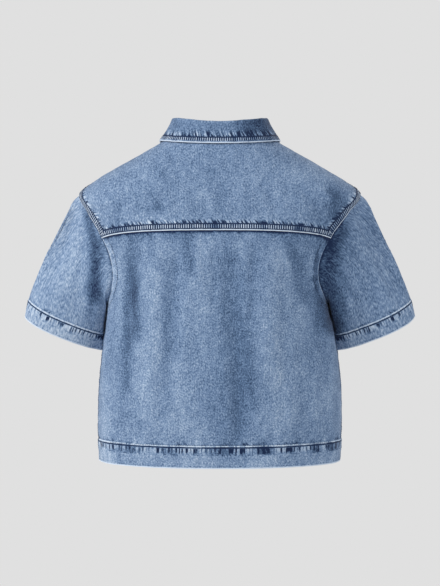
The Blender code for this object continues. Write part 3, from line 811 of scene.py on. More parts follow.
def build_yoke(settings):
    """The yoke, from its felled edge across the back to both shoulder seams and the neck."""
    band = armhole(1, YOKE_TURN)[1] + BAND_WIDTH
    turns = edge_turns(YOKE_TURN, 0, "start")
    grid = back_grid(back_shares(), turns, np.array([]), high_rows(), SHOULDER_LEVEL, band)
    yoke = Cloth(*body(*grid))
    yoke.crease(YOKE_CREASES, 20 * MM, settings)
    yoke.drape(33, settings.ripple * 0.7, settings.crumple)
    for side in (1, -1):
        yoke.sew(armhole_line(side, 0, 1.5), 41 + side, "armhole of the yoke")
        yoke.sew(shoulder_line(side), 45 + side, "shoulder")
    yoke.sew(yoke_line(), 51, "yoke")
    yoke.paint_shade_and_light(HOLLOWS)
    yoke.paint_shade_and_light(YOKE_HOLLOWS)
    yoke.blot_seam(YOKE_BLOTS, -7, 3.5)
    yoke.finish("back_yoke", settings.ply)


def build_front(side, node, settings):
    """One front, from its side seam to half a placket past the centre."""
    width = 0.215  # about, to space its columns by
    zones = [(0, 14 * MM, 1.2 * MM), (width - 34 * MM, width, 1.6 * MM)]
    share = spaced(width, zones, 3 * MM) / width
    turns = edge_turns(pi, 0, "end", 2.8 * MM)
    points, normals = body(*front_grid(side, share, turns, low_rows(), high_rows(2.9 * MM)))
    if side > 0:
        points = points + normals * lap_lift(points)[..., None]
    front = Cloth(points, normals)
    front.wear_and_shade_folds(FRONT_FOLDS)
    front.crease(FRONT_CREASES, 22 * MM, settings)
    front.drape(60 + side, settings.ripple, settings.crumple)
    under = PLACKET_WIDTH / 2 + 1 * MM  # the cloth is flat this far, for the placket to lie on
    front.height = CLOTH + (front.height - CLOTH) * ramp(abs(points[..., 0]), under, under + 11 * MM)
    start, end = side * pi / 2, side * (pi + 0.1)
    front.sew_all(
        70 + 10 * side,
        (armhole_line(side, -pi, 0), "pressed flat"),
        (side_line(side), "tucked under"),
        (shoulder_line(side), "tucked under"),
        (hem_line(start, end), "hem of a front"),
        (hem_stitches(start, end), "hem's stitches"),
    )
    if side > 0:
        covered = 1 - ramp(points[..., 0], under, under + 2 * MM)
        front.height = front.height * (1 - covered) + (CLOTH - 0.2 * MM) * covered
    else:
        lowest = np.minimum(front.height, CLOTH + 0.25 * MM)
        front.height = np.where(points[..., 0] > -under, lowest, front.height)
    front.finish(node, settings.ply)


def build_placket(settings):
    """The band on the left front, a strip of its own that is sewn down along both edges."""
    high = spaced(1, [], 1 / 90) * (NECK_LEVEL - UNDERARM_LEVEL) + UNDERARM_LEVEL
    levels = np.concatenate([low_rows(), high])
    zones = [(0, 4 * MM, 0.8 * MM), (26 * MM, 31 * MM, 0.8 * MM)]
    share = spaced(PLACKET_WIDTH, zones, 1.8 * MM) / PLACKET_WIDTH * 2 - 1
    angle = pi + angle_at(PLACKET_WIDTH / 2, levels)[:, None] * share
    points, normals = body(angle, levels[:, None])
    points = points + normals * lap_lift(points)[..., None]
    placket = Cloth(points, normals, CLOTH + SEAM_GAP + PLACKET_PLY)
    placket.drape(91, 0.12, 0.16)
    fold = HEM_LEVEL + HEM_HEIGHT
    placket.height += HEM_RAISE * (1 - ramp(levels, fold, fold + 1 * MM))[:, None]
    SEWN["placket"] = points[:, 0], points[:, -1]
    placket.sew_all(93, *[(edge, "placket") for edge in SEWN["placket"]])
    placket.finish("front_placket", settings.ply)


# Sleeves


def clear_of_body(points, wanted):
    """Moves points level outwards until they stand `wanted` clear of the body's plain face."""
    x, y, z = np.moveaxis(points, -1, 0)
    size = {name: smooth(z, BODY["level"], BODY[name]) for name in BODY}
    width = size["width"] - np.where(x < 0, size["right_tuck"], 0)
    depth = np.where(y > 0, size["back"], size["front"])
    ratio = (abs(x / width) ** ROUNDNESS + abs(y / depth) ** ROUNDNESS) ** (1 / ROUNDNESS)
    slope_x = np.sign(x) * abs(x / width) ** (ROUNDNESS - 1) / width
    slope_y = np.sign(y) * abs(y / depth) ** (ROUNDNESS - 1) / depth
    slope = np.hypot(slope_x, slope_y)
    short = np.clip(wanted - (ratio - 1) / (slope * ratio ** (1 - ROUNDNESS)), 0, None)
    push = np.stack([slope_x / slope, slope_y / slope, np.zeros_like(x)], axis=-1)
    return points + push * short[..., None]


def sleeve_folds(turns, share):
    """Sum of the large folds round a sleeve, fading out at the armhole and the hem."""
    folds = zip(*SLEEVE_FOLDS.values())
    return sum(depth * np.sin(pi * share) * bump(turns, turn, width) for turn, width, depth in folds)


def sleeve_surface(side, turns, rows):
    """The sleeve's plain surface: a column for each turn round it, a row for each share down it."""
    angle, level = armhole(side, turns)
    edge, edge_normals = body(side * angle, level)
    around = np.roll(edge[:-1], -1, axis=0) - np.roll(edge[:-1], 1, axis=0)
    onward = unit(np.cross(np.concatenate([around, around[:1]]), edge_normals)) * side
    under = (((1 - np.cos(turns)) / 2) ** 2)[:, None]
    start = edge + onward * (SEAM_GAP + CLOTH * np.sin(under * pi / 2))
    cuff = CUFF_CENTRE + np.cos(turns)[:, None] * CUFF_LONG + np.sin(turns)[:, None] * CUFF_SHORT
    cuff = cuff * np.array((side, 1, 1))
    leaving = unit(onward * (1 - under) + edge_normals * under)
    reach = np.linalg.norm(cuff - start, axis=-1, keepdims=True)
    arm = unit(np.mean(cuff - start, axis=0))
    t = rows[:, None, None]
    points = (2 * t**3 - 3 * t**2 + 1) * start + (t**3 - 2 * t**2 + t) * leaving * reach * SLEEVE_EASE
    points = points + (3 * t**2 - 2 * t**3) * cuff + (t**3 - t**2) * arm * reach
    share = rows[:, None]
    bow = smooth(share, SLEEVE_BOW["along"], SLEEVE_BOW["out"]) * (1 + np.cos(turns)) / 2
    bow = bow + sleeve_folds(turns, share)
    middle = np.mean(points[:, :-1], axis=1, keepdims=True)
    points = points + unit(points - middle) * bow[..., None]
    away = np.linalg.norm(points - edge, axis=-1)
    points = clear_of_body(points, np.minimum(SLEEVE_CLEARANCE, away / 2) * ramp(under[:, 0], 0.2, 0.5))
    tucked = edge - onward * 3 * MM * (1 - under) - edge_normals * 0.4 * MM
    return np.concatenate([tucked[None], points]), np.mean(reach)


def line_off_edge(points, wanted):
    """The line across a piece at one distance from its last row."""
    away = nearest(points, points[-1])[0]
    return np.array([
        [np.interp(wanted, away[::-1, column], points[::-1, column, axis]) for axis in range(3)]
        for column in range(points.shape[1])
    ])


def build_sleeve(node, settings):
    """One sleeve, a closed ring of cloth with its seam under the arm and its hem turned up."""
    side, worn, hollows, shade_behind, crumple = SLEEVES[node]
    girth, length = 0.42, 0.19  # about, to space its columns and rows by
    turns = spaced(girth, [(girth / 2 - 10 * MM, girth / 2 + 12 * MM, 1.2 * MM)], 2.7 * MM)
    turns = turns / girth * 2 * pi
    finer = ((0, 8 * MM), (length - 32 * MM, length - 19 * MM), (length - 3 * MM, length))
    rows = spaced(length, [(start, end, 1 * MM) for start, end in finer], 2.6 * MM) / length
    points, reach = sleeve_surface(side, turns, rows)
    normals = grid_normals(points, closed=True)
    middle = np.mean(points[:, :-1], axis=1, keepdims=True)
    normals *= np.sign(np.sum(normals * (points - middle)))
    sleeve = Cloth(points, normals)
    share = np.concatenate([[0], rows])[:, None]
    sleeve.height -= sleeve_folds(turns, share) * 0.6
    # The left sleeve painted paler, as if lit from its side
    sleeve.worn += worn
    sleeve.paint_shade_and_light(hollows)
    # Painted shade on the sleeve's back just below its armhole, where the body's edge shades it
    behind = ramp(turns, radians(60), radians(85)) * (1 - ramp(turns, radians(140), radians(165)))
    sleeve.deep += shade_behind * behind * np.exp(-share * reach / (8 * MM))
    sway = radians(9) * np.sin(share * 5 + side)
    for turn, width, depth in zip(*SLEEVE_CREASES.values()):
        crease = depth * np.sin(pi * np.clip(share * 1.15, 0, 1)) * bump(turns + sway, turn, width)
        sleeve.relief(crease * settings.crease_depth, CREASE_WASH_AND_SHADE)
    sleeve.drape(120 + 10 * side, settings.ripple * 0.8, settings.crumple * crumple)
    sleeve.height = CLOTH + (sleeve.height - CLOTH) * ramp(share, 0, 0.06)
    hem = line_off_edge(points, SLEEVE_HEM - HEM_ROW)
    underarm = points[:, np.argmin(abs(turns - pi))]
    sleeve.sew_all(
        140 + 10 * side,
        (points[1], "armhole of a sleeve"),
        (points[-1], "hem of a sleeve"),
        (hem, "hem's stitches"),
        (underarm, "underarm"),
    )
    sleeve.height[0] = CLOTH - 0.8 * MM  # the row that lies under the body's edge
    sleeve.finish(node, settings.ply, closed=True)
    SEWN[node] = hem, underarm


# Collar


def build_stand():
    """The stand, a band sewn to the neck's edge, from the right front's end round to the left's."""
    end = pi + angle_at(PLACKET_WIDTH / 2, NECK_LEVEL)
    angle = np.linspace(-end, end, 170)
    foot, out = body(angle, NECK_LEVEL)
    lower = body(angle, NECK_LEVEL - 1 * MM)[0]
    foot = foot + out * (lap_lift(foot) * (angle > pi / 2))[:, None]
    onward = unit(np.cross(out, np.gradient(foot, axis=0)))
    onward *= np.sign(np.sum(onward * (foot - lower), axis=1))[:, None]
    level = np.array((1, 1, 0))
    top = ring_point(angle, *STAND_TOP, *STAND_TOP_Z)
    top = top + unit(top * level) * (lap_lift(foot) * (angle > pi / 2))[:, None]
    rise = unit(top - foot)
    turn = np.arctan2(np.sum(rise * out, axis=1), np.sum(rise * onward, axis=1))[:, None]
    first = foot + onward * (SEAM_GAP + COLLAR_PLY * np.sin(turn))
    share = np.linspace(0, 1, 15)[:, None, None]
    points = first * (1 - share) + top * share
    normals = grid_normals(points)
    normals *= np.sign(np.sum(normals * (points * level)))
    stand = Cloth(points, normals, COLLAR_PLY)
    stand.drape(181, 0.1, 0.14)
    stand.sew_all(182, (points[0], "foot of the stand"), (points[-1], "top of the stand"))
    stand.finish("collar_stand", COLLAR_PLY)
    return angle, points, normals


def build_fall(angle, stand, stand_normals):
    """The fall, which rolls over the stand's top and comes down outside it."""
    mine = abs(angle) < pi - angle_at(PLACKET_WIDTH / 2, NECK_LEVEL) + 0.001
    side, roll = np.sign(angle[mine]), abs(angle[mine])
    edge_angle = smooth(roll, FALL["roll_deg"], FALL["edge_deg"]) * side
    edge, edge_normals = body(edge_angle, smooth(roll, FALL["roll_deg"], FALL["edge_level"]))
    over = CLOTH + FALL_LIFT + COLLAR_PLY / 2 + lap_lift(edge) * (edge_angle > pi / 2)
    edge = edge + edge_normals * over[:, None]
    away, up = stand_normals[-1][mine], unit(stand[-1] - stand[-2])[mine]
    start = stand[-1][mine] + away * COLLAR_PLY / 2
    lines = [start + up * height for height in (SEAM_GAP, ROLL_RISE)]
    for bend in pi - np.linspace(0, pi, 11)[1:-1]:
        lines.append(lines[1] + (away * (1 + np.cos(bend)) + up * np.sin(bend)) * ROLL_RADIUS)
    below = len(lines) + 1  # the leaf's first row below the roll
    leaf = lines[1] + away * 2 * ROLL_RADIUS
    length = np.linalg.norm(edge - leaf, axis=1, keepdims=True)
    for t in 1 - spaced(1, [(0, 0.3, 0.025)], 0.05)[::-1]:
        spring = (leaf - edge - up * length) * t * (1 - t) ** 2
        lines.append(leaf * (1 - t) + edge * t + spring)
    points = np.stack(lines)
    normals = grid_normals(points)
    normals *= np.sign(np.sum(normals[-4:] * edge_normals))
    fall = Cloth(points, normals, 0)
    fall.drape(191, 0.25, 0.2)
    ends = points[below:, 0], points[below:, -1]
    fall.sew_all(192, (points[-1], "edge of the fall"), *[(end, "end of the fall") for end in ends])
    past = fall.past_row
    fall.past_row = np.where(past > 1.5, 1.5 + (past - 1.5) * 0.55, past)  # a deeper fringe
    roll_rubbed = bump(np.arange(len(points))[:, None], (1 + below) / 2, 3)
    fall.worn += 0.25 * roll_rubbed
    # Painted shade on the back of the fall's right half, away from the key light; the whole fall is painted
    # a little darker too
    right_half = ramp(-points[..., 0], 5 * MM, 45 * MM) * (points[..., 1] > 0)
    fall.deep += 0.25 + 0.55 * right_half
    fall.finish("collar_fall", FALL_PLY, offset=0.0)
    row = np.argmin(abs(lengths(points[::-1, len(roll) // 2])[::-1] - FALL_ROW))
    inset = round(FALL_ROW / (1.9 * MM))  # columns from an end, which stand 1.9 mm apart
    first, last = points[below:row, inset], points[below:row, -inset - 1]
    SEWN["fall"] = np.concatenate([first, points[row, inset:-inset], last[::-1]])


def build_collar():
    angle, stand, normals = build_stand()
    build_fall(angle, stand, normals)
    SEWN["stand"] = stand[1]
    SEWN["buttons"] = button_places(stand, normals)


# Stitching


def stitch_grain(settings):
    """One stitch of thick thread, a slim grain with its ends in the cloth, as points and faces."""
    bpy.ops.object.select_all(action="DESELECT")
    bpy.ops.mesh.primitive_uv_sphere_add(segments=6, ring_count=5, radius=1)
    grain = bpy.context.object
    bpy.ops.object.mode_set(mode="EDIT")
    bpy.ops.mesh.select_all(action="SELECT")
    bpy.ops.transform.rotate(value=pi / 2, orient_axis="Y", center_override=(0, 0, 0))
    bpy.ops.object.mode_set(mode="OBJECT")
    points = np.array([vertex.co[:] for vertex in grain.data.vertices])
    points *= np.array((0.41 * settings.stitch_length, settings.thread, settings.thread * 0.8))
    faces = [tuple(face.vertices) for face in grain.data.polygons]
    bpy.data.objects.remove(grain, do_unlink=True)
    return points, faces


def seated(places, node):
    """Places moved on to a piece's outer face, its normals there, and how far off its points."""
    outer, normals = SEATS[node]
    index = closest(places, outer)
    facing = normals[index]
    places = places - facing * np.sum((places - outer[index]) * facing, axis=1, keepdims=True)
    return places, facing, np.linalg.norm(places - outer[index], axis=1)


def stitch_row(line, node, inset, trim, pitch):
    """Middles, directions and normals of one row of stitches, set in from a line by an amount."""
    places = resampled(line, pitch)
    if inset:
        inward = unit(np.cross(seated(places, node)[1], unit(np.gradient(places, axis=0))))
        probe = 5 * MM
        plus, minus = (seated(places + inward * step, node)[2].sum() for step in (probe, -probe))
        places = resampled(places + inward * inset * (1 if plus < minus else -1), pitch)
    along, onward = lengths(places), unit(np.gradient(places, axis=0))
    places, facing, off = seated(places, node)
    keep = (off < 3 * MM) & (along >= trim) & (along <= along[-1] - trim)
    onward = unit(onward - facing * np.sum(onward * facing, axis=1, keepdims=True))
    return places[keep], onward[keep], facing[keep]


def buttonhole(place, facing):
    """A buttonhole's close stitches, in a narrow loop down the placket with its slit open."""
    around = np.linspace(0, 2 * pi, 44, endpoint=False)[:, None]
    down = unit(np.cross(facing, np.array((1.0, 0, 0))))
    side = unit(np.cross(down, facing))
    middle = place - facing * BUTTON_SEAT
    rim = middle + np.cos(around) * down * 11.5 * MM + np.sin(around) * side * 2.0 * MM
    places, normals, _ = seated(rim, "front_placket")
    outward = unit(np.sin(around) * side + 0.35 * np.cos(around) * down)
    onward = unit(outward - normals * np.sum(outward * normals, axis=1, keepdims=True))
    return places, onward, normals


def sew_on(node, rows, grain):
    """All the stitches of one piece in one mesh."""
    model, faces = grain
    places, onward, facing = (np.concatenate(part) for part in zip(*rows))
    frames = np.stack([onward, np.cross(facing, onward), facing], axis=1)
    points = np.einsum("vk,skc->svc", model, frames) + places[:, None] + facing[:, None] * THREAD * 0.35
    starts = range(0, len(places) * len(model), len(model))
    data = bpy.data.meshes.new("stitches_" + node)
    copies = [tuple(corner + start for corner in face) for start in starts for face in faces]
    data.from_pydata(points.reshape(-1, 3).tolist(), [], copies)
    data.shade_smooth()
    data.materials.append(material("Spun sewing thread"))
    piece = bpy.data.objects.new(data.name, data)
    bpy.context.scene.collection.objects.link(piece)
    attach(piece, "root")


def build_stitching(settings):
    """Each piece's rows, as a line, how far the row is set in from it, and its trim at both ends."""
    end = 1 * MM
    second = EDGE_ROW + NEEDLE_GAUGE

    def double(line, trim=end, wider=0.0):
        return [(line, EDGE_ROW, trim), (line, second + wider, trim)]

    rows = {"back_body": [], "back_yoke": double(yoke_line())}
    for side, hand in ((1, "left"), (-1, "right")):
        rows["back_body"] += double(side_line(side))
        rows["back_body"].append((armhole_line(side, YOKE_TURN, pi), second, end))
        rows["back_yoke"] += double(armhole_line(side, 0.02, YOKE_TURN), wider=WIDER)
        rows["back_yoke"] += double(shoulder_line(side), 8 * MM)
        hem = hem_stitches(side * pi / 2, side * (pi - 0.12))
        rows["front_" + hand] = [*double(armhole_line(side, -pi, -0.02)), (hem, 0, end)]
        hem, underarm = SEWN["sleeve_" + hand]
        rows["sleeve_" + hand] = [(hem, 0, 0), *[(underarm, inset, 3 * MM) for inset in UNDERARM_ROWS]]
    rows["back_body"].append((hem_stitches(-pi / 2, pi / 2), 0, end))
    rows["front_placket"] = [(edge, PLACKET_ROW, end) for edge in SEWN["placket"]]
    rows["collar_stand"] = [(SEWN["stand"], 1 * MM, end)]
    rows["collar_fall"] = [(SEWN["fall"], 0, 0)]
    grain = stitch_grain(settings)
    for node, lines in rows.items():
        sewn = [stitch_row(line, node, *where, settings.stitch_length) for line, *where in lines]
        if node == "front_placket":
            sewn += [buttonhole(place, facing) for place, facing in SEWN["buttons"][1:]]
        sew_on(node, sewn, grain)


# Buttons


def button_places(stand, normals):
    """Where each button sits and faces: the stand's, then the placket's from the top."""
    facing = normals[len(stand) // 2, round(stand.shape[1] * (1 - 0.028))]
    places = [(np.mean(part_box("button_stand"), axis=0) - facing * BUTTON_HEIGHT / 2, facing)]
    under = LAP + CLOTH + SEAM_GAP + PLACKET_PLY + BUTTON_SEAT
    for height in np.linspace(BUTTON_TOP_Z, BUTTON_LOW_Z, BUTTONS):
        place, facing = body(pi, smooth(height, BODY["front_z"], BODY["level"]))
        places.append((place + facing * under, facing))
    return places


def build_buttons(settings):
    """Tack buttons: a turned cap with a rolled rim, a dished face and a domed middle."""
    bpy.ops.object.select_all(action="DESELECT")
    wide, high = 0.42, 0.0
    bpy.ops.mesh.primitive_circle_add(vertices=36, radius=settings.button_radius * wide, fill_type="NGON")
    model = bpy.context.object
    bpy.ops.object.mode_set(mode="EDIT")
    bpy.ops.mesh.select_all(action="SELECT")
    for part, level in BUTTON_PROFILE:
        rise = (0, 0, (level - high) * BUTTON_HEIGHT)
        bpy.ops.mesh.extrude_region_move(TRANSFORM_OT_translate={"value": rise})
        bpy.ops.transform.resize(value=(part / wide, part / wide, 1))
        wide, high = part, level
    bpy.ops.mesh.select_all(action="SELECT")
    bpy.ops.mesh.normals_make_consistent(inside=False)
    bpy.ops.object.mode_set(mode="OBJECT")
    bpy.ops.object.shade_smooth_by_angle(angle=radians(50))
    model.data.materials.append(material("Antiqued stamped brass"))
    names = ["button_stand"] + [f"button_{number}" for number in range(1, BUTTONS + 1)]
    for name, (place, facing) in zip(names, SEWN["buttons"]):
        turn = Vector(facing).to_track_quat("Z", "Y").to_matrix()
        data = model.data.copy()
        data.name = name + "_cap"
        for vertex in data.vertices:
            vertex.co = turn @ vertex.co + Vector(place)
        cap = bpy.data.objects.new(data.name, data)
        bpy.context.scene.collection.objects.link(cap)
        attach(cap, "root")
        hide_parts(name)
    bpy.data.objects.remove(model, do_unlink=True)


# Materials


def linear(colour):
    """A hex colour such as 6f86a3, as the eye sees it, turned to linear light."""
    parts = [int(colour[i : i + 2], 16) / 255 for i in (0, 2, 4)]
    return (*[p / 12.92 if p <= 0.04045 else ((p + 0.055) / 1.055) ** 2.4 for p in parts], 1.0)


def feed(tree, node, **inputs):
    """Gives each input its value, or the socket that feeds it. n0 is the first input."""
    for key, value in inputs.items():
        socket = node.inputs[int(key[1:]) if key[1:].isdigit() else key.replace("_", " ")]
        if isinstance(value, bpy.types.NodeSocket):
            tree.links.new(value, socket)
        else:
            socket.default_value = value


def add_node(tree, kind, settings=None, output=0, stops=(), **inputs):
    """One output of a new node, with its settings, its ramp's stops and what feeds it."""
    node = tree.nodes.new("ShaderNode" + kind)
    for key, value in (settings or {}).items():
        setattr(node, key, value)
    for _ in stops[2:]:
        node.color_ramp.elements.new(0.5)
    for number, (at, colour) in enumerate(stops):
        stop = node.color_ramp.elements[number]
        stop.position, stop.color = at, (*colour[:3], 1)
    feed(tree, node, **inputs)
    return node.outputs[output]


def denim(tree, shader):
    """Woven cotton twill, indigo warp over white weft, stone-washed after sewing.

    The wash rubs the blue off what stands up, so ridges, puckers and folded edges go pale, seams
    keep dark dye beside them, and the bared weft gives the whole cloth a salt-and-pepper grain.
    The same pale and dark also carry painted highlight on ridges and painted shade in grooves, troughs and
    hollows.
    """
    look = bpy.context.scene.shirt_denim
    cloth = add_node(tree, "UVMap", {"uv_map": "cloth"})
    turned = add_node(tree, "Mapping", Vector=cloth, Rotation=(0, 0, radians(28)))
    place = add_node(tree, "TexCoord", output="Object")
    field = {name: add_node(tree, "Attribute", {"attribute_name": name}, "Fac") for name in PAINTED}
    away, along, past, hemmed = (field[name] for name in ("away", "along", "past_row", "hemmed"))

    def taken(operation, *sources):
        """The sources taken together in turn, such as their sum or their product."""
        result = sources[0]
        for source in sources[1:]:
            result = add_node(tree, "Math", {"operation": operation}, n0=result, n1=source)
        return result

    def product(*sources):
        return taken("MULTIPLY", *sources)

    def summed(*sources):
        return taken("ADD", *sources)

    def inverse(source):
        return taken("SUBTRACT", 1.0, source)

    def ease(source, low, high):
        """0 where the source is at low, 1 where it is at high, soft between; low may be over high."""
        soft = {"interpolation_type": "SMOOTHSTEP"}
        return add_node(tree, "MapRange", soft, n0=source, n1=low, n2=high)

    def stripe(source, middle, half):
        """1 along the line where the source is at the middle, 0 from half its width away."""
        return ease(taken("ABSOLUTE", taken("SUBTRACT", source, middle), 0.0), half, 0.0)

    def grain(source, across, down, detail, size=1.0, roughness=0.5):
        """Soft random tones in cells that are `across` and `down` of the source's own sizes."""
        scale = (1 / (across * size), 1 / (down * size), 1 / (across * size))
        moved = add_node(tree, "Mapping", Vector=source, Scale=scale)
        return add_node(tree, "TexNoise", Vector=moved, Scale=1.0, Detail=detail, Roughness=roughness)

    # Real yarns stand 0.5 mm apart, too fine to show, so the bared weft is drawn 1.8 mm across.
    # Each pattern is given by its width, its length, its detail and its share of the tone.
    weave = (
        (turned, 1.8, 2.6, 3, look.speckle),  # bared weft
        (cloth, 1.3, 22, 2, 0.34),  # slubs down the warp
        (cloth, 6, 1.6, 2, 0.16),  # flecks across it
        (cloth, 9, 11, 3, 0.34),  # blotches
        (place, 60, 60, 3, 0.22),  # uneven wash
    )
    yarns = [grain(*pattern, MM, 0.6) for *pattern, _ in weave]
    shares = [share for *_, share in weave]
    tone = summed(*[product(yarn, share) for yarn, share in zip(yarns, shares)])

    straight = add_node(tree, "CombineXYZ", n0=along, n1=away)
    lean = summed(along, product(past, -0.6))
    streak = grain(add_node(tree, "CombineXYZ", n0=lean, n1=away), 2.7, 24, 1)
    patch = ease(grain(straight, 22, 90, 1), 0.38, 0.62)
    beat = taken("SINE", product(along, 2 * pi / (STITCH_PITCH / MM)), 0.0)
    rungs = ease(summed(beat, product(grain(straight, 3.4, 30, 1), 1.4)), 0.4, 1.5)
    ticks = ease(grain(straight, 3.2, 60, 1), 0.47, 0.58)
    ragged = summed(past, product(grain(straight, 4.0, 80, 1), 8.0), -4.0)
    single = ease(field["felled"], 0.2, 0.45)
    double = ease(field["felled"], 0.6, 0.95)
    sewn = summed(single, hemmed)
    row = stripe(past, 0.0, 1.25)
    between = product(ease(away, 2.4, 3.4), ease(past, -0.3, -1.2), single)
    fringe = product(ease(past, 0.7, 1.6), ease(past, 8.0, 1.5))
    under_row = product(ease(past, -0.8, -1.7), hemmed)
    # Bands of a seam, each with how far it is rubbed: its fold, the rungs between its two rows,
    # the hem's upper fold, the fringe of puckers beyond it, and the ridges below the hem's row
    rubbed = summed(
        product(ease(away, 1.8, 0.7), sewn, 1.3),
        product(between, rungs, 0.8),
        product(stripe(past, 2.1, 1.2), hemmed, summed(product(inverse(ticks), 0.75), 0.65)),
        product(fringe, ease(streak, 0.50, 0.38), single, 0.9),
        product(under_row, ease(past, -11.0, -2.0), inverse(ticks), 0.35),
    )
    # And how dark each is painted, partly kept dye and partly painted shade of grooves and troughs: both
    # rows, between them, the fringe's troughs, the troughs above and below the hem's row, and the marks of
    # what is folded inside the hem
    dyed = summed(
        product(row, sewn, 2.4),
        product(stripe(away, EDGE_ROW / MM, 1.0), double, 2.4),
        product(between, inverse(rungs), 2.0),
        product(fringe, ease(streak, 0.50, 0.58), single, summed(patch, 0.45), 1.25),
        product(ease(past, 3.0, 4.2), ease(past, 9.0, 4.0), ease(streak, 0.50, 0.60), hemmed, patch, 0.9),
        product(under_row, ease(ragged, -10.0, -3.5), ticks, summed(patch, 0.4), 1.7),
        product(under_row, ease(past, -14.0, -5.0), ease(grain(straight, 9, 40, 1), 0.60, 0.68), 0.6),
        product(stripe(past, -10.0, 1.3), hemmed, ease(grain(straight, 6, 80, 1), 0.48, 0.60), 0.55),
        product(stripe(away, 3.2, 1.6), hemmed, ticks, patch, 0.6),
    )
    tone = summed(
        tone,
        look.depth_of_wash - sum(shares) / 2,
        product(summed(field["worn"], rubbed), look.rub),
        product(summed(field["deep"], dyed), -look.dye),
    )
    colours = (look.dye_colour, look.dark_colour, look.blue_colour, look.pale_colour, look.weft_colour)
    blue = add_node(tree, "ValToRGB", stops=tuple(zip((0.0, 0.30, 0.52, 0.76, 1.0), colours)), n0=tone)
    # The twill's ribs stand 0.9 mm apart, a little wider than real ones so that they show
    ribs = add_node(
        tree, "Mapping", Vector=cloth, Scale=(1 / MM, 1 / MM, 1), Rotation=(0, 0, radians(-63))
    )
    twill = add_node(
        tree, "TexWave", {"wave_profile": "SIN"}, "Fac", Vector=ribs, Scale=0.35, Distortion=1.2, Detail=2.0
    )
    height = summed(product(twill, 0.35), yarns[0], product(rubbed, 0.9), product(row, sewn, -1.2))
    bumps = add_node(tree, "Bump", Strength=0.35, Distance=0.5 * MM, Height=height)
    feed(
        tree, shader, Base_Color=blue, Normal=bumps, Roughness=0.92, Specular_IOR_Level=0.18,
        Sheen_Weight=0.12, Sheen_Roughness=0.5,
    )


def thread(tree, shader):
    """Spun cotton-wrapped thread, dyed navy and rubbed by the wash: dark, dull, a little uneven."""
    look = bpy.context.scene.shirt_denim
    place = add_node(tree, "TexCoord", output="Object")
    fade = add_node(tree, "TexNoise", Vector=place, Scale=140.0, Detail=2.0)  # over 7 mm or so
    stops = ((0.35, look.thread_dark), (0.65, look.thread_light))
    navy = add_node(tree, "ValToRGB", stops=stops, n0=fade)
    feed(tree, shader, Base_Color=navy, Roughness=0.85, Specular_IOR_Level=0.25)


def button_brass(tree, shader):
    """Stamped brass, antiqued dark and rubbed bright on its rims: a satin brown-gold metal."""
    place = add_node(tree, "TexCoord", output="Object")
    stain = add_node(tree, "TexNoise", Vector=place, Scale=700.0, Detail=3.0)  # 1.4 mm across
    half = add_node(tree, "Math", {"operation": "MULTIPLY"}, n0=stain, n1=0.5)
    rims = add_node(tree, "NewGeometry", output="Pointiness")
    rubbed = add_node(tree, "Math", {"operation": "SUBTRACT"}, n0=rims, n1=0.25)
    mixed = add_node(tree, "Math", {"operation": "ADD"}, n0=half, n1=rubbed)
    stops = ((0.35, linear("5b4c3c")), (0.7, linear("b39a74")))
    brown = add_node(tree, "ValToRGB", stops=stops, n0=mixed)
    feed(tree, shader, Base_Color=brown, Metallic=1.0, Roughness=0.38)


def studio_paper(tree, shader):
    """Seamless background paper, matt and evenly pale."""
    place = add_node(tree, "TexCoord", output="Object")
    fibre = add_node(tree, "TexNoise", Vector=place, Scale=900.0, Detail=2.0)  # 1.1 mm long
    bumps = add_node(tree, "Bump", Strength=0.05, Distance=0.2 * MM, Height=fibre)
    pale = linear("e6e6e6")
    feed(tree, shader, Base_Color=pale, Normal=bumps, Roughness=1.0, Specular_IOR_Level=0.0)


FINISHES = {
    "Woven stone-washed denim": denim,
    "Spun sewing thread": thread,
    "Antiqued stamped brass": button_brass,
    "Matt background paper": studio_paper,
}


def material(name):
    """The material of that name, made the first time that a piece needs it."""
    if name not in bpy.data.materials:
        made = bpy.data.materials.new(name)
        made.use_nodes = True
        FINISHES[name](made.node_tree, made.node_tree.nodes["Principled BSDF"])
    return bpy.data.materials[name]


# Studio

FLOOR_RADIUS = 2.9
FLOOR_LEVEL = -1.25
LIT_POINT = Vector((0, 0, -0.22))
CAMERA_PLACE = (0, 2.4, -0.210)
LIGHTS = (  # name, place, width and colour
    ("key", (2.4, 1.35, 0.95), 0.9, (1.0, 0.985, 0.96)),
    ("fill", (-2.0, 1.9, 0.7), 1.4, (0.93, 0.97, 1.0)),
    ("front", (-1.3, -1.9, 1.2), 1.2, (1.0, 0.985, 0.96)),
)


def build_sky(strength):
    """An even pale surround, which the camera sees brighter than it lights the shirt."""
    world = bpy.data.worlds.new("Studio")
    world.use_nodes = True
    tree, pale = world.node_tree, linear("e0e0e0")
    sky = tree.nodes["Background"]
    feed(tree, sky, Color=pale, Strength=1.0)
    dim = add_node(tree, "Background", Color=pale, Strength=strength)
    seen = add_node(tree, "LightPath", output="Is Camera Ray")
    mixed = add_node(tree, "MixShader", n0=seen, n1=dim, n2=sky.outputs[0])
    feed(tree, tree.nodes["World Output"], Surface=mixed)
    bpy.context.scene.world = world


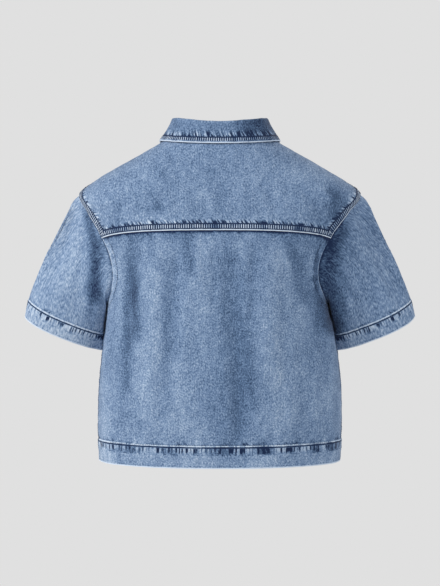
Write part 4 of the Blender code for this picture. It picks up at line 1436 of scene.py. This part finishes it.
def build_studio(settings):
    """A plain pale floor far below, soft lights on both sides and in front, and the camera."""
    scene = bpy.context.scene
    scene.view_settings.view_transform = "Standard"
    scene.view_settings.look = "None"
    bpy.ops.object.select_all(action="DESELECT")
    bpy.ops.mesh.primitive_circle_add(
        vertices=96, radius=FLOOR_RADIUS, fill_type="NGON", location=(0, 0, FLOOR_LEVEL)
    )
    floor = bpy.context.object
    floor.name = "studio_floor"
    bpy.ops.object.transform_apply(location=True)
    floor.data.materials.append(material("Matt background paper"))
    build_sky(settings.soft_light)
    for name, place, size, colour in LIGHTS:
        light = bpy.data.lights.new(name, "AREA")
        light.shape, light.size, light.color = "DISK", size, colour
        light.energy = getattr(settings, name + "_power")
        lamp = bpy.data.objects.new(name, light)
        lamp.location = place
        lamp.rotation_euler = (LIT_POINT - Vector(place)).to_track_quat("-Z", "Y").to_euler()
        scene.collection.objects.link(lamp)
    camera = bpy.data.cameras.new("Camera")
    camera.sensor_fit, camera.sensor_width, camera.lens = "AUTO", 36, settings.lens
    camera.clip_start, camera.clip_end = 0.05, 60
    stand = bpy.data.objects.new("Camera", camera)
    stand.location = CAMERA_PLACE
    stand.rotation_euler = (pi / 2, 0, pi)
    scene.collection.objects.link(stand)
    scene.camera = stand


# The add-on


def amount(name, description, default, unit="NONE"):
    return bpy.props.FloatProperty(name=name, description=description, default=default, unit=unit)


def shade(name, description, colour):
    return bpy.props.FloatVectorProperty(
        name=name, description=description, default=linear(colour)[:3], subtype="COLOR"
    )


class ShirtCloth(bpy.types.PropertyGroup):
    ply: amount("Cloth", "Thickness of one ply of denim", 0.9 * MM, "LENGTH")
    ripple: amount("Ripples", "Height in millimetres of the soft hanging ripples", 0.55)
    crumple: amount("Crumples", "Height in millimetres of the small crumples", 0.28)
    crease_depth: amount("Creases", "Share of each crease's tabled depth", 1.0)
    stitch_length: amount("Stitch", "Length of one stitch", STITCH_PITCH, "LENGTH")
    thread: amount("Thread", "Radius of the sewing thread", THREAD, "LENGTH")
    button_radius: amount("Button", "Radius of a tack button", BUTTON_RADIUS, "LENGTH")


class ShirtDenim(bpy.types.PropertyGroup):
    dye_colour: shade("Unworn dye", "Indigo that stays beside seams", "15284a")
    dark_colour: shade("Dark blue", "Blue of the hollows", "4d6687")
    blue_colour: shade("Blue", "Blue of the washed cloth", "748db0")
    pale_colour: shade("Pale blue", "Blue of the ridges", "a4b8d1")
    weft_colour: shade("Bared weft", "White of rubbed edges", "cddaeb")
    thread_dark: shade("Dark thread", "Navy thread as it was sewn", "162030")
    thread_light: shade("Thread", "Rubbed thread", "42536f")
    depth_of_wash: amount("Wash", "0 keeps the dye, 1 is nearly white", 0.5)
    speckle: amount("Grain", "Strength of the salt-and-pepper grain", 1.25)
    rub: amount("Rub", "How far worn places go pale", 0.5)
    # Scales how dark the kept dye and all the painted shade go
    dye: amount("Seam dye", "How dark the blue stays beside seams", 0.42)


class ShirtStudio(bpy.types.PropertyGroup):
    key_power: amount("Key light", "Power of the light on the back", 63.0, "POWER")
    fill_power: amount("Fill light", "Power of the light from the other side", 23.0, "POWER")
    front_power: amount("Front light", "Power of the light on the front", 20.0, "POWER")
    soft_light: amount("Soft light", "Strength of the light from all round", 0.55)
    lens: amount("Lens", "Focal length in millimetres", 105.3)


class SHIRT_OT_back(bpy.types.Operator):
    """Make the back and its yoke"""

    bl_idname = "shirt.back"
    bl_label = "Back and yoke"

    def execute(self, context):
        build_back(context.scene.shirt_cloth)
        build_yoke(context.scene.shirt_cloth)
        return {"FINISHED"}


class SHIRT_OT_fronts(bpy.types.Operator):
    """Make both fronts and the placket"""

    bl_idname = "shirt.fronts"
    bl_label = "Fronts and placket"

    def execute(self, context):
        build_front(1, "front_left", context.scene.shirt_cloth)
        build_front(-1, "front_right", context.scene.shirt_cloth)
        build_placket(context.scene.shirt_cloth)
        return {"FINISHED"}


class SHIRT_OT_sleeves(bpy.types.Operator):
    """Make both sleeves"""

    bl_idname = "shirt.sleeves"
    bl_label = "Sleeves"

    def execute(self, context):
        for node in SLEEVES:
            build_sleeve(node, context.scene.shirt_cloth)
        return {"FINISHED"}


class SHIRT_OT_collar(bpy.types.Operator):
    """Make the collar's stand and fall"""

    bl_idname = "shirt.collar"
    bl_label = "Collar"

    def execute(self, context):
        build_collar()
        return {"FINISHED"}


class SHIRT_OT_stitching(bpy.types.Operator):
    """Sew the rows of stitches on to the finished pieces"""

    bl_idname = "shirt.stitching"
    bl_label = "Stitching"

    def execute(self, context):
        build_stitching(context.scene.shirt_cloth)
        return {"FINISHED"}


class SHIRT_OT_buttons(bpy.types.Operator):
    """Make the tack buttons"""

    bl_idname = "shirt.buttons"
    bl_label = "Buttons"

    def execute(self, context):
        build_buttons(context.scene.shirt_cloth)
        return {"FINISHED"}


class SHIRT_OT_studio(bpy.types.Operator):
    """Set up the floor, the lights and the camera"""

    bl_idname = "shirt.studio"
    bl_label = "Studio"

    def execute(self, context):
        build_studio(context.scene.shirt_studio)
        return {"FINISHED"}


class SHIRT_PT_panel(bpy.types.Panel):
    """The shirt's sizes and colours, and the steps that make it"""

    bl_idname = "SHIRT_PT_panel"
    bl_label = "Denim shirt"
    bl_space_type = "VIEW_3D"
    bl_region_type = "UI"
    bl_category = "Shirt"

    def draw(self, context):
        for name, _ in GROUPS:
            group = getattr(context.scene, name)
            box = self.layout.box()
            for key in type(group).__annotations__:
                box.prop(group, key)
        for operator in OPERATORS:
            self.layout.operator(operator.bl_idname)


GROUPS = (("shirt_cloth", ShirtCloth), ("shirt_denim", ShirtDenim), ("shirt_studio", ShirtStudio))
OPERATORS = (
    SHIRT_OT_back, SHIRT_OT_fronts, SHIRT_OT_sleeves, SHIRT_OT_collar, SHIRT_OT_stitching,
    SHIRT_OT_buttons, SHIRT_OT_studio,
)


def register():
    for name, group in GROUPS:
        bpy.utils.register_class(group)
        setattr(bpy.types.Scene, name, bpy.props.PointerProperty(type=group))
    for kind in (*OPERATORS, SHIRT_PT_panel):
        bpy.utils.register_class(kind)


def unregister():
    for kind in (SHIRT_PT_panel, *reversed(OPERATORS)):
        bpy.utils.unregister_class(kind)
    for name, group in reversed(GROUPS):
        delattr(bpy.types.Scene, name)
        bpy.utils.unregister_class(group)


def main():
    register()
    for step in ("back", "fronts", "sleeves", "collar", "stitching", "buttons", "studio"):
        getattr(bpy.ops.shirt, step)()


if __name__ == "__main__":
    main()
